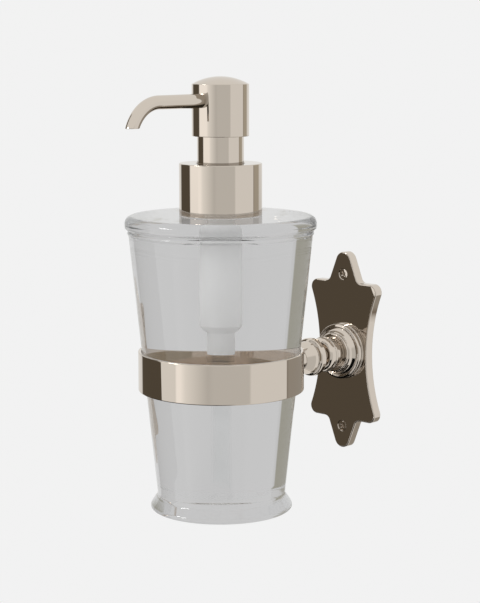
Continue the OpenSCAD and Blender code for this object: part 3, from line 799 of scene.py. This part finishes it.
# %% Strips and faces for the plate
class Skin:
    """Collects rings of points, the strips between them and flat faces with holes, as arrays."""

    def __init__(self):
        self.points, self.edge, self.faces, self.normals, self.count = [], [], [], [], 0

    def ring(self, flat, depth, edge=0.0):
        """A ring of (x, z) points at a distance out of the wall."""
        ids = self.count + np.arange(len(flat))
        self.points.append(np.stack([flat[:, 0], np.full(len(flat), -depth), flat[:, 1]], 1))
        self.edge.append(np.full(len(flat), edge))
        self.count += len(flat)
        return ids

    def strip(self, a, b, normal_a, normal_b):
        """Quads from ring a to ring b, with the normals along each."""
        around = [a, np.roll(a, -1), np.roll(b, -1), b]
        facing = [normal_a, np.roll(normal_a, -1, 0), np.roll(normal_b, -1, 0), normal_b]
        self.faces += np.stack(around, 1).tolist()
        self.normals.append(np.stack(facing, 1).reshape(-1, 3))

    def face(self, loops, normal):
        """Flat triangles between the first loop and the holes that the others cut in it."""
        points = np.concatenate(self.points)
        ids = np.concatenate(loops)
        tris = np.array(tessellate_polygon([[Vector(p) for p in points[loop]] for loop in loops]))
        tris = ids[tris]
        p = points[tris]
        wrong = np.cross(p[:, 1] - p[:, 0], p[:, 2] - p[:, 0]) @ np.array(normal) < 0
        tris[wrong] = tris[wrong][:, ::-1]
        self.faces += tris.tolist()
        self.normals.append(np.tile(np.array(normal, float), (len(tris) * 3, 1)))

    def build(self, name, material):
        """The mesh of all that was collected."""
        return mesh_object(name, np.concatenate(self.points), self.faces, np.concatenate(self.normals),
                           np.concatenate(self.edge), material)


def tilted(flat, front):
    """Normals that lean from the outline's own direction to the front by an angle in degrees."""
    a = math.radians(front)
    return np.stack([flat[:, 0] * math.cos(a), np.full(len(flat), -math.sin(a)), flat[:, 1] * math.cos(a)], 1)


# %% The plate with its screw holes
EDGE_FRONT = 0.55
EDGE_BACK = 0.2
SCREW_PITCH = 65
SHANK_HOLE_R = 1.4
HEAD_HOLE_R = 2.3
HEAD_INSET = 0.25
CONE_H = 0.9
HOLE_POINTS = 64


def circle(r, z=0.0):
    """HOLE_POINTS points on a circle, anticlockwise, and the directions away from its middle."""
    a = np.linspace(0, 2 * np.pi, HOLE_POINTS, endpoint=False)
    way = np.stack([np.cos(a), np.sin(a)], 1)
    return r * way + np.array([0, z]), way


def bored(skin, z, steps):
    """A hole's wall through (radius, depth, lean) steps from the front to the back; returns its two rims."""
    rings = []
    for r, depth, lean in steps:
        flat, way = circle(r, z)
        rings.append((skin.ring(flat, depth), tilted(-way, lean)))
    for (a, normal_a), (b, normal_b) in zip(rings[:-1], rings[1:]):
        skin.strip(a, b, normal_a, normal_b)
    return rings[0][0], rings[-1][0]


def make_plate():
    """Rings of the outline round the two eased edges, joined by strips, and two faces with the screw holes cut."""
    skin = Skin()
    steps = [(EDGE_BACK * (1 - math.sin(b)), EDGE_BACK * (1 - math.cos(b)), b - math.pi / 2)
             for b in np.radians([0, 30, 60, 90])]
    steps += [(EDGE_FRONT * (1 - math.cos(b)), plate_t - EDGE_FRONT * (1 - math.sin(b)), b)
              for b in np.radians(np.linspace(0, 90, 8))]
    rings = []
    for inset, depth, lean in steps:
        flat, way = plate_ring(inset)
        rings.append((skin.ring(flat, depth, float(0.01 < abs(lean) < 1.56)), tilted(way, math.degrees(lean))))
    for (a, normal_a), (b, normal_b) in zip(rings[:-1], rings[1:]):
        skin.strip(a, b, normal_a, normal_b)
    seat = plate_t - HEAD_INSET
    hole = [(HEAD_HOLE_R + 0.1, plate_t, 45), (HEAD_HOLE_R, plate_t - 0.1, 45), (HEAD_HOLE_R, plate_t - 0.1, 0),
            (HEAD_HOLE_R, seat, 0), (HEAD_HOLE_R, seat, 45), (SHANK_HOLE_R, seat - CONE_H, 45),
            (SHANK_HOLE_R, seat - CONE_H, 0), (SHANK_HOLE_R, 0, 0)]
    fronts, backs = zip(*[bored(skin, z, hole) for z in (SCREW_PITCH / 2, -SCREW_PITCH / 2)])
    skin.face([rings[-1][0], *fronts], (0, -1, 0))
    skin.face([rings[0][0], *backs], (0, 1, 0))
    return skin.build("backplate_fine", nickel)


settle(make_plate(), "backplate")

# %% [markdown]
# ## The wall screws
# Two small countersunk screws hold the plate. Their heads are slightly domed, and the cross recess is pressed into
# the head by the placing function: the depth is greatest on the cross and falls to nothing at its rim. One screw is
# turned a little further than the other, as screws are.

# %% The screws
SCREW_R = 1.25
SHANK_R = 1.3
SCREW_HEAD_R = 2.2
screw_tip = -span("wall_screws", 1)[1]
RECESS_W = 0.5
RECESS_L = 2.5
RECESS_D = 0.55
SCREW_DOME = 0.04


def cross_recess(x, z, turn):
    """1 in the middle of a cross, 0 outside it; each arm has sloped sides."""
    u = x * math.cos(turn) + z * math.sin(turn)
    v = z * math.cos(turn) - x * math.sin(turn)
    arms = [smooth((RECESS_W / 2 - abs(p)) / 0.12 + 0.5) * smooth((RECESS_L / 2 - abs(q)) / 0.5) for p, q in
            ((u, v), (v, u))]
    return np.maximum(*arms)


def screw_outline():
    """From the tip up the thread, the thicker shank and the cone, then in across the face."""
    face = plate_t - HEAD_INSET
    head = eased((0, screw_tip, 0), (SCREW_R, screw_tip, 0.3), (SCREW_R, 0, 0), (SHANK_R, 0, 0),
                 (SHANK_R, face - CONE_H, 0.1), (SCREW_HEAD_R, face - 0.05, 0.08), (SCREW_HEAD_R - 0.15, face, 0))
    return head + [line((SCREW_HEAD_R - 0.15, face), (0, face), 40)]


def make_screw(z, turn):
    """A screw at a height, with its recess turned by an angle."""
    def pressed(points):
        """Raises the face by SCREW_DOME (1 - (r / head radius)^2) and lowers it by the depth of the recess."""
        near = smooth((points[..., 2] - (plate_t - HEAD_INSET - 0.2)) / 0.1)
        deep = RECESS_D * cross_recess(points[..., 0], points[..., 1], turn) * near
        lift = SCREW_DOME * near * (1 - (np.hypot(points[..., 0], points[..., 1]) / SCREW_HEAD_R) ** 2)
        return outward(points + np.stack([0 * deep, 0 * deep, lift - deep], -1)) + np.array([0, 0, z])
    return revolve("screw", screw_outline(), pressed, nickel, around=96)


def joined(name, pieces):
    """One object from several."""
    with bpy.context.temp_override(active_object=pieces[0], selected_editable_objects=pieces):
        bpy.ops.object.join()
    pieces[0].name = name
    pieces[0].data.name = name
    return pieces[0]


settle(joined("wall_screws_fine", [make_screw(SCREW_PITCH / 2, 0.6), make_screw(-SCREW_PITCH / 2, 1.1)]),
       "wall_screws")

# %% [markdown]
# ## The collar, sleeve, button and spout
# The collar and the sleeve are thin turned shells. The button is a thicker shell with a domed top that meets its
# side in a crisp edge. Small eased corners matter most here: each one catches a thin line of light.

# %% The collar and the neck sleeve
collar_z0, collar_z1 = span("collar_shell", 2)
collar_r = half_width("collar_shell")
sleeve_z0, sleeve_z1 = span("neck_sleeve", 2)
sleeve_r = half_width("neck_sleeve")
COLLAR_T = 0.9
SLEEVE_T = 0.8
SLEEVE_GAP = 0.4
hole_r = sleeve_r + SLEEVE_GAP

turned("collar_shell", eased(
    (collar_r - COLLAR_T, collar_z0, 0.1), (collar_r, collar_z0, 0.3), (collar_r, collar_z1, 0.35),
    (hole_r, collar_z1, 0.3), (hole_r, collar_z1 - COLLAR_T, 0.1), (collar_r - COLLAR_T, collar_z1 - COLLAR_T, 0.1),
    closed=True), around=160)
turned("neck_sleeve", eased(
    (sleeve_r - SLEEVE_T, sleeve_z0, 0.1), (sleeve_r, sleeve_z0, 0.2), (sleeve_r, sleeve_z1, 0.1),
    (sleeve_r - SLEEVE_T, sleeve_z1, 0.1), closed=True))

# %% The button
head_z0, head_top = span("head_shell", 2)
head_r = half_width("head_shell")
core_z0, core_z1 = span("head_core", 2)
DOME_H = 2.95
HEAD_T = 1.2
HEAD_EDGE = 0.25


def button_outline():
    """From the cavity's ceiling down the inside, round the lower edge, up the side and over the dome."""
    side_top = head_top - DOME_H
    core_r = head_r - HEAD_T
    dome_r = (head_r ** 2 + DOME_H ** 2) / (2 * DOME_H)
    dome_a = math.degrees(math.acos(head_r / dome_r))
    back = HEAD_EDGE * math.tan(math.radians(dome_a) / 2)
    shell = eased((0, core_z1, 0), (core_r, core_z1, 0.2), (core_r, core_z0, 0.1), (sleeve_r, core_z0, 0.1),
                  (sleeve_r, head_z0, 0.1), (head_r, head_z0, 0.25), (head_r, side_top - back, 0))
    edge = arc((head_r - HEAD_EDGE, side_top - back), HEAD_EDGE, 0, dome_a)
    dome = arc((0, head_top - dome_r), dome_r, dome_a + math.degrees(back / dome_r), 90, 24)
    return shell + [edge, dome]


turned("head_shell", button_outline(), around=160)

# %% [markdown]
# The spout is a tapered tube. Its outline is that of a straight tube, in radius and distance from the pump's axis,
# and the placing function bends it: past the straight run, the distance turns into an angle about the bend's
# centre. The mouth is cut level and not square, so each line along the tube is stretched until it ends at the
# mouth's height.

# %% The spout
spout_near, spout_high = -span("spout", 1)[1], span("spout", 2)[1]
SPOUT_R = 2.7
MOUTH_R = 2.55
SPOUT_BORE_R = 2.0
BEND_R = 14.3
SPOUT_DROP = 9.15
RUN_END = 32.36
spout_z = spout_high - SPOUT_R
spout_root = spout_near - reach
bend_angle = math.acos((BEND_R - SPOUT_DROP) / BEND_R)
tube_end = RUN_END + BEND_R * bend_angle


def bent(points):
    """Along the straight run: (x, distance, z). Past it: turned about a point BEND_R below the run's end."""
    x, up, along = points[..., 0], points[..., 1], points[..., 2]
    past = np.maximum(along - RUN_END, 0)
    level = np.arccos(np.clip((BEND_R - SPOUT_DROP) / (BEND_R + up), -1, 1))
    angle = past / BEND_R * (1 + (level / bend_angle - 1) * smooth(past / (BEND_R * bend_angle)))
    radius = BEND_R + up
    y = np.minimum(along, RUN_END) + radius * np.sin(angle)
    z = spout_z - BEND_R + radius * np.cos(angle)
    return np.stack([x, PUMP_Y - y, z], -1)


def spout_outline():
    """Bore, root, tapered outside and rounded lip of the straight tube, in radius and distance."""
    outside = line((SPOUT_R, spout_root), (SPOUT_R, RUN_END * 0.5), 6)
    taper = line((SPOUT_R, RUN_END * 0.5), (MOUTH_R, tube_end - 0.2), 48)
    lip = [arc((MOUTH_R - 0.2, tube_end - 0.2), 0.2, 0, 90),
           line((MOUTH_R - 0.2, tube_end), (SPOUT_BORE_R + 0.1, tube_end)),
           arc((SPOUT_BORE_R + 0.1, tube_end - 0.1), 0.1, 90, 180)]
    bore = line((SPOUT_BORE_R, tube_end - 0.1), (SPOUT_BORE_R, spout_root), 48)
    root = line((SPOUT_BORE_R, spout_root), (SPOUT_R, spout_root))
    return [outside, taper] + lip + [bore, root]


turned("spout", spout_outline(), bent, around=64)

# %% [markdown]
# ## The pump engine
# Under the collar hangs the part that does the work. A housing with a flange rests on the neck, with a cup for the
# sleeve, a cylinder for the piston and a socket for the dip tube. All of it is moulded, so its corners are eased by a
# few tenths of a millimetre. It comes into view when the pump is lifted out for refilling.

# %% The housing, gasket and closure
housing_z0, flange_z1 = span("pump_housing", 2)
flange_r = half_width("pump_housing")
gasket_z0, gasket_z1 = span("neck_gasket", 2)
dip_z0, dip_z1 = span("dip_tube", 2)
dip_r = half_width("dip_tube")
CUP_IN_R = 9.35
CUP_R = 10.4
BORE_R = 4.5
CYLINDER_R = 5.5
cup_floor_z = sleeve_z0 - 10.8
cylinder_z0 = dip_z1 + 1
SOCKET_T = 1.0
SEAT_H = 2.4
INLET_R = 1.3
BALL_SEAT_R = 2.4

turned("pump_housing", eased(
    (flange_r, gasket_z1, 0.1), (flange_r, flange_z1, 0.15), (CUP_IN_R, flange_z1, 0.3), (CUP_IN_R, cup_floor_z, 0.3),
    (BORE_R, cup_floor_z, 0.1), (BORE_R, cylinder_z0 + SEAT_H, 0.1), (BALL_SEAT_R, cylinder_z0 + SEAT_H, 0.1),
    (BALL_SEAT_R, cylinder_z0 + BALL_SEAT_R - INLET_R, 0), (INLET_R, cylinder_z0, 0), (INLET_R, dip_z1, 0.1),
    (dip_r, dip_z1, 0), (dip_r, housing_z0, 0.15), (dip_r + SOCKET_T, housing_z0, 0.3),
    (dip_r + SOCKET_T, cylinder_z0 - 2.5, 0.6), (CYLINDER_R, cylinder_z0, 0.5), (CYLINDER_R, cup_floor_z - 1, 0.8),
    (CUP_R, cup_floor_z - 1, 0.8), (CUP_R, gasket_z1, 0.1), closed=True))
turned("neck_gasket", eased(
    (NECK_BORE_R + 0.1, gasket_z0, 0.1), (NECK_R - 0.3, gasket_z0, 0.15), (NECK_R - 0.3, gasket_z1, 0.15),
    (NECK_BORE_R + 0.1, gasket_z1, 0.1), closed=True))

# %% [markdown]
# The closure is the plastic screw cap inside the metal collar. Its bore carries the same ridge as the neck, pressed
# inwards and half a pitch higher, and as low as the neck's, so that the two pass each other. It is held a running
# gap above the housing's flange, because it turns on it. The guide bush closes the cylinder, and the dip tube ends in
# a slant so that it can't seal itself against the bottle's floor.

# %% The closure, the bush and the dip tube
liner_z0, liner_z1 = span("closure_liner", 2)
LINER_BORE_R = 13.75
RUNNING_GAP = 0.05
liner_r = half_width("closure_liner")
LIP_T = 1.4
LINER_TOP_T = 1.5


def grooved(points):
    """The closure's bore with its thread standing in, between the laps of the neck's."""
    return with_thread(points, LINER_BORE_R, -0.7 * THREAD_H, THREAD_PITCH / 2, 0.8, NECK_H)


lip_z = flange_z1 + LIP_T
clamp_z = flange_z1 + RUNNING_GAP
bore = [line((LINER_BORE_R, clamp_z), (LINER_BORE_R, liner_z0), 48)]
turned("closure_liner", bore + eased(
    (LINER_BORE_R, liner_z0, 0), (liner_r, liner_z0, 0.2), (liner_r, liner_z1, 0.2),
    (liner_r - LINER_TOP_T, liner_z1, 0.2), (liner_r - LINER_TOP_T, lip_z, 0.3), (CUP_IN_R + 0.3, lip_z, 0.3),
    (CUP_IN_R + 0.3, clamp_z, 0.1), (LINER_BORE_R, clamp_z, 0)), grooved)

bush_z0, bush_z1 = span("guide_bush", 2)
bush_r = half_width("guide_bush")
STEM_R = 3.0
turned("guide_bush", eased(
    (STEM_R + RUNNING_GAP, bush_z0, 0.1), (BORE_R, bush_z0, 0.2), (BORE_R, bush_z1 - 1, 0),
    (bush_r, bush_z1 - 1, 0.1), (bush_r, bush_z1, 0.2), (STEM_R + RUNNING_GAP, bush_z1, 0.2), closed=True), around=96)

DIP_T = 0.6
SLANT = math.tan(math.radians(35))


def slanted(points):
    """Slides the tube's lower end along z by x times the slant, and leaves its upper end level."""
    share = np.clip((dip_z0 + 8 - points[..., 2]) / 8, 0, 1)
    slide = (points[..., 0] + dip_r) * -SLANT * share
    return upright(points + np.stack([0 * slide, 0 * slide, slide + 2 * dip_r * SLANT * share], -1))


wall = [line((dip_r, dip_z0 + 0.1), (dip_r, dip_z1), 30), line((dip_r, dip_z1), (dip_r - DIP_T, dip_z1)),
        line((dip_r - DIP_T, dip_z1), (dip_r - DIP_T, dip_z0 + 0.1), 30),
        arc((dip_r - DIP_T / 2, dip_z0 + 0.1), DIP_T / 2, 180, 360)]
turned("dip_tube", wall, slanted, around=64)

# %% [markdown]
# The moving column is a hollow stem with a shoulder that pushes the piston down, and the piston's two thin lips wipe
# the cylinder. Two steel balls are the valves, and a coiled spring brings the button back.

# %% The stem, the piston and the two balls
stem_z0, stem_z1 = span("stem", 2)
piston_z0, piston_z1 = span("piston", 2)
piston_r = half_width("piston")
stem_shoulder_r = half_width("stem")
STEM_BORE_R = 1.1
VALVE_BORE_R = 1.9
VALVE_DEPTH = 7

turned("stem", eased(
    (STEM_BORE_R, stem_z0, 0.1), (STEM_R, stem_z0, 0.15), (STEM_R, piston_z1 + 0.05, 0),
    (stem_shoulder_r, piston_z1 + 0.05, 0.1), (stem_shoulder_r, piston_z1 + 0.85, 0.1),
    (STEM_R, piston_z1 + 0.85, 0.1), (STEM_R, stem_z1, 0.15), (VALVE_BORE_R, stem_z1, 0.1),
    (VALVE_BORE_R, stem_z1 - VALVE_DEPTH, 0),
    (STEM_BORE_R, stem_z1 - VALVE_DEPTH - 0.8, 0), closed=True), around=64)
turned("piston", eased(
    (STEM_R + RUNNING_GAP, piston_z0, 0.05), (piston_r, piston_z0, 0.1), (piston_r, piston_z0 + 1.2, 0.15),
    (piston_r - 0.7, piston_z0 + 1.9, 0.3), (piston_r - 0.7, piston_z1 - 1.9, 0.3), (piston_r, piston_z1 - 1.2, 0.15),
    (piston_r, piston_z1, 0.1), (STEM_R + RUNNING_GAP, piston_z1, 0.05), closed=True), around=96)
for ball in ("inlet_ball", "outlet_ball"):
    low, high = span(ball, 2)
    radius = (high - low) / 2
    turned(ball, [arc((0, (low + high) / 2), radius, -90, 90, 24)], around=48)

# %% The return spring
spring_z0, spring_z1 = span("return_spring", 2)
WIRE_R = 0.4
SPRING_TURNS = 7
SPRING_SIDES = 14
SPRING_STEPS = 60


def make_spring():
    """A round wire swept along a helix: radius R, rising evenly, with the last half turn at each end laid flat."""
    coil_r = half_width("return_spring") - WIRE_R
    steps = SPRING_TURNS * SPRING_STEPS
    t = np.linspace(0, 1, steps + 1)
    flat = 0.5 / SPRING_TURNS
    rise = smooth((t - flat) / (1 - 2 * flat)) * 0.15 + np.clip((t - flat) / (1 - 2 * flat), 0, 1) * 0.85
    z = spring_z0 + WIRE_R + (spring_z1 - spring_z0 - 2 * WIRE_R) * rise
    a = 2 * np.pi * SPRING_TURNS * t
    out = np.stack([np.cos(a), np.sin(a), 0 * a], 1)
    centre = coil_r * out + np.stack([0 * a, 0 * a, z], 1)
    b = np.linspace(0, 2 * np.pi, SPRING_SIDES, endpoint=False)
    facing = out[:, None] * np.cos(b)[:, None] + np.array([0, 0, 1.0]) * -np.sin(b)[:, None]
    points = upright(centre[:, None] + WIRE_R * facing)
    index = np.arange(points.shape[0] * SPRING_SIDES).reshape(-1, SPRING_SIDES)
    i, j = index[:-1], index[1:]
    quads = np.stack([i, np.roll(i, -1, 1), np.roll(j, -1, 1), j], 2)
    corner = np.stack([facing[:-1], np.roll(facing[:-1], -1, 1), np.roll(facing[1:], -1, 1), facing[1:]], 2)
    faces = quads.reshape(-1, 4).tolist() + [index[0][::-1].tolist(), index[-1].tolist()]
    travel = np.stack([-np.sin(a[[0, -1]]), np.cos(a[[0, -1]]), 0 * a[[0, -1]]], 1)
    ends = np.concatenate([np.tile(-travel[0], (SPRING_SIDES, 1)), np.tile(travel[1], (SPRING_SIDES, 1))])
    normals = np.concatenate([corner.reshape(-1, 3), ends])
    return mesh_object("return_spring_fine", points.reshape(-1, 3), faces, normals, np.zeros(index.size), steel)


spring = settle(make_spring(), "return_spring")
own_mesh(spring)

# %% [markdown]
# Two nodes are never seen at any pose: the stud inside the arm and the plastic core inside the button. Their packed
# meshes stay, and they only need their own finish.

# %% Finishes for the nodes that stay
for node in ("arm_stud", "head_core"):
    mesh = frame["nodes"][node].data
    mesh.materials.clear()
    mesh.materials.append(MATERIAL_OF[SLOT_OF[node]])
    print(node, "finished in", mesh.materials[0].name)

# %% [markdown]
# ## The studio
# A mirror finish shows nothing but its surroundings, so the surroundings are designed like a product studio. In a
# real one, each surface is given its own card to mirror, and the cards stand out of view. Here the world does that
# work, because it can answer each kind of ray on its own:
#
# - The camera sees an even, pale backdrop.
# - Metal mirrors a sweep all round, with a bright panel to the left of the camera and dark bands beyond it. Low down
#   in front there is no light, so undersides stay dark. A ray that has met metal twice finds less light, so grooves
#   show as dark lines.
# - What is seen through glass is a plain grey, with one darker band.
# - Plastic is lit evenly from all sides.
#
# This isn't how a real room lights an object. It belongs to this scene and not to the pieces, so the object looks
# different under other lights. Angles are counted in degrees about the upright axis, from the camera's side.

# %% The colours of the world, by angle
BACKDROP = (0.887, 0.887, 0.887)
PLAIN = (0.95, 0.95, 0.95)
ON_PLASTIC = (0.88, 0.88, 0.88)
SWEEP, PALE, GREY, SHADE = (0.84, 0.84, 0.83), (0.76, 0.76, 0.755), (0.585, 0.585, 0.575), (0.55, 0.55, 0.54)
PANEL, PANEL_LOW, PANEL_EDGE = (1.05, 1.04, 1.03), (0.8, 0.8, 0.79), (0.86, 0.86, 0.85)
CARD, BROWN, GOLD, DUSK = (0.09, 0.075, 0.056), (0.20, 0.17, 0.14), (0.42, 0.39, 0.33), (0.33, 0.31, 0.28)
OVERHEAD, UNLIT, NESTED = (0.78, 0.78, 0.77), (0.004, 0.004, 0.004), (0.06, 0.052, 0.042)
CLEAR, BAND = (0.56, 0.558, 0.558), (0.306, 0.294, 0.244)
OFF, ON = (0, 0, 0), (1, 1, 1)

LEFT = [(-180, SWEEP), (-143, PALE), (-139, CARD), (-96, CARD)]
MIDDLE = [(-58, PANEL), (-50, PANEL_EDGE), (-18, SHADE), (-10, GREY), (39, GREY), (42, PALE), (102, PALE)]
MIDDLE += [(104, BROWN)]
UPPER = LEFT + [(-92, PANEL)] + MIDDLE + [(106, GOLD), (130, GOLD), (133, PALE), (180, SWEEP)]
LOWER = LEFT + [(-92, PANEL_LOW), (-66, PANEL_LOW), (-64, PANEL)] + MIDDLE
LOWER += [(106, DUSK), (160, DUSK), (165, PALE), (180, SWEEP)]
IN_FRONT = [(-158, OFF), (-155, ON), (18, ON), (22, OFF)]
THROUGH_GLASS = [(-180, CLEAR), (-139, CLEAR), (-138, BAND), (-75, BAND), (-60, CLEAR), (180, CLEAR)]


# %% What metal mirrors and what glass shows
def all_round(graph, place, stops):
    """A ramp with its stops in degrees; place is 0 at -180 degrees and 1 at 180."""
    return graph.ramp(place, [(degrees / 360 + 0.5, colour) for degrees, colour in stops])


def mirrored(graph, place, height):
    """Lower bands up to upper bands over a height of -0.19 to -0.06, overhead from 0.2 to 0.37, unlit below -0.42."""
    level = graph.mix(graph.math("MULTIPLY_ADD", height, 8.0, 1.5, clamp=True),
                      all_round(graph, place, LOWER), all_round(graph, place, UPPER))
    dome = graph.mix(graph.math("MULTIPLY_ADD", height, 6.0, -1.2, clamp=True), level, OVERHEAD)
    below = graph.math("MULTIPLY_ADD", height, -20.0, -8.4, clamp=True)
    return graph.mix(graph.math("MULTIPLY", below, all_round(graph, place, IN_FRONT)), dome, UNLIT)


def through_glass(graph, place, height):
    """The band within a height of 0.35 either way, gone by 0.45, and clear grey elsewhere."""
    level = graph.math("MULTIPLY_ADD", graph.math("ABSOLUTE", height), -10.0, 4.5, clamp=True)
    return graph.mix(level, CLEAR, all_round(graph, place, THROUGH_GLASS))


# %% The world
def make_world():
    """Picks by the kind of ray; height is the z of its direction, place its angle about z as a share of a turn."""
    world = bpy.data.worlds.new("studio")
    bpy.context.scene.world = world
    world.use_nodes = True
    graph = Graph(world.node_tree)
    world.node_tree.nodes.clear()
    way = graph.node("ShaderNodeTexCoord").outputs["Generated"]
    right, near = (graph.node("ShaderNodeVectorMath", {0: way, 1: axis}, operation="DOT_PRODUCT").outputs["Value"]
                   for axis in (to_right, to_camera))
    height = graph.node("ShaderNodeSeparateXYZ", {0: way}).outputs["Z"]
    place = graph.math("MULTIPLY_ADD", graph.math("ARCTAN2", right, near), 1 / (2 * math.pi), 0.5)
    rays = graph.node("ShaderNodeLightPath").outputs
    again = graph.math("MULTIPLY_ADD", rays["Ray Depth"], 0.5, -1.0, clamp=True)
    seen = graph.mix(rays["Is Glossy Ray"], PLAIN, graph.mix(again, mirrored(graph, place, height), NESTED))
    seen = graph.mix(rays["Transmission Depth"], seen, through_glass(graph, place, height))
    seen = graph.mix(rays["Diffuse Depth"], seen, ON_PLASTIC)
    seen = graph.mix(rays["Is Camera Ray"], seen, BACKDROP)
    light_out = graph.node("ShaderNodeBackground", {"Color": seen, "Strength": 1.0})
    graph.node("ShaderNodeOutputWorld", {"Surface": light_out.outputs[0]})
    return world


# %% [markdown]
# Two settings go with such a world. It isn't sampled as a light of its own, because a direct sample doesn't say what
# kind of ray it is for. And light may bounce many times, because a ray that is caught in the thick rim or foot ends
# black if it is cut off early.

# %% Sampling and bounces
MANY_BOUNCES = 128
make_world().cycles.sampling_method = "NONE"
bpy.context.scene.view_settings.view_transform = "Standard"
for kind in ("max_bounces", "glossy_bounces", "transmission_bounces"):
    setattr(bpy.context.scene.cycles, kind, MANY_BOUNCES)
print("world ready")

# %% [markdown]
# The floor is as pale as the backdrop and only the camera sees it. The dark card is what the flat wall plate mirrors.
# Its left edge leans, so that it is narrower higher up. One small softbox puts the highlights on the metal and the
# glass.

# %% The floor, the dark card and the lamp
FLOOR_Z = -0.3


def hide_from(thing, *kinds):
    """Makes a sheet or a lamp invisible to these kinds of ray."""
    for kind in kinds:
        setattr(thing, "visible_" + kind, False)


def studio_point(left, away, z):
    """A place in metres, counted to the left of and away from the bottle's axis as the camera sees it."""
    return Vector((0, PUMP_Y * MM, z)) - to_right * left - to_camera * away


def flat_sheet(name, corners, colour):
    """A four-cornered sheet that gives off an even light."""
    mesh = bpy.data.meshes.new(name)
    mesh.from_pydata([tuple(c) for c in corners], [], [(0, 1, 2, 3)])
    made = bpy.data.objects.new(name, mesh)
    bpy.context.scene.collection.objects.link(made)
    material = bpy.data.materials.new(name)
    material.use_nodes = True
    material.node_tree.nodes.clear()
    graph = Graph(material.node_tree)
    glow = graph.node("ShaderNodeEmission", {"Color": (*colour, 1), "Strength": 1.0})
    graph.node("ShaderNodeOutputMaterial", {"Surface": glow.outputs[0]})
    mesh.materials.append(material)
    return made


floor = flat_sheet("floor", [(x, y, FLOOR_Z) for x, y in ((-30, -30), (30, -30), (30, 30), (-30, 30))], BACKDROP)
hide_from(floor, "glossy", "diffuse", "transmission")
card_corners = ((-0.066, -0.2), (0.42, -0.2), (0.33, 0.42), (0.162, 0.42))
card = flat_sheet("dark_card", [studio_point(0.4, away, z) for away, z in card_corners], CARD)
hide_from(card, "camera", "diffuse", "transmission", "shadow")


def make_lamp(name, azimuth, height, distance, size, power):
    """A softbox at an azimuth from the camera, a height angle and a distance, aimed at the ring."""
    data = bpy.data.lights.new(name, "AREA")
    data.shape = "RECTANGLE"
    data.size, data.size_y = size
    data.energy = power
    lamp = bpy.data.objects.new(name, data)
    bpy.context.scene.collection.objects.link(lamp)
    a, h = math.radians(azimuth), math.radians(height)
    way = (to_camera * math.cos(a) + to_right * math.sin(a)) * math.cos(h) + Vector((0, 0, math.sin(h)))
    lamp.location = Vector((0, PUMP_Y * MM, 0)) + way * distance
    lamp.rotation_euler = (-way).to_track_quat("-Z", "Y").to_euler()
    hide_from(lamp, "camera", "transmission")
    return lamp


make_lamp("key", azimuth=-72, height=28, distance=0.9, size=(0.24, 0.12), power=1.0)
print("studio ready")
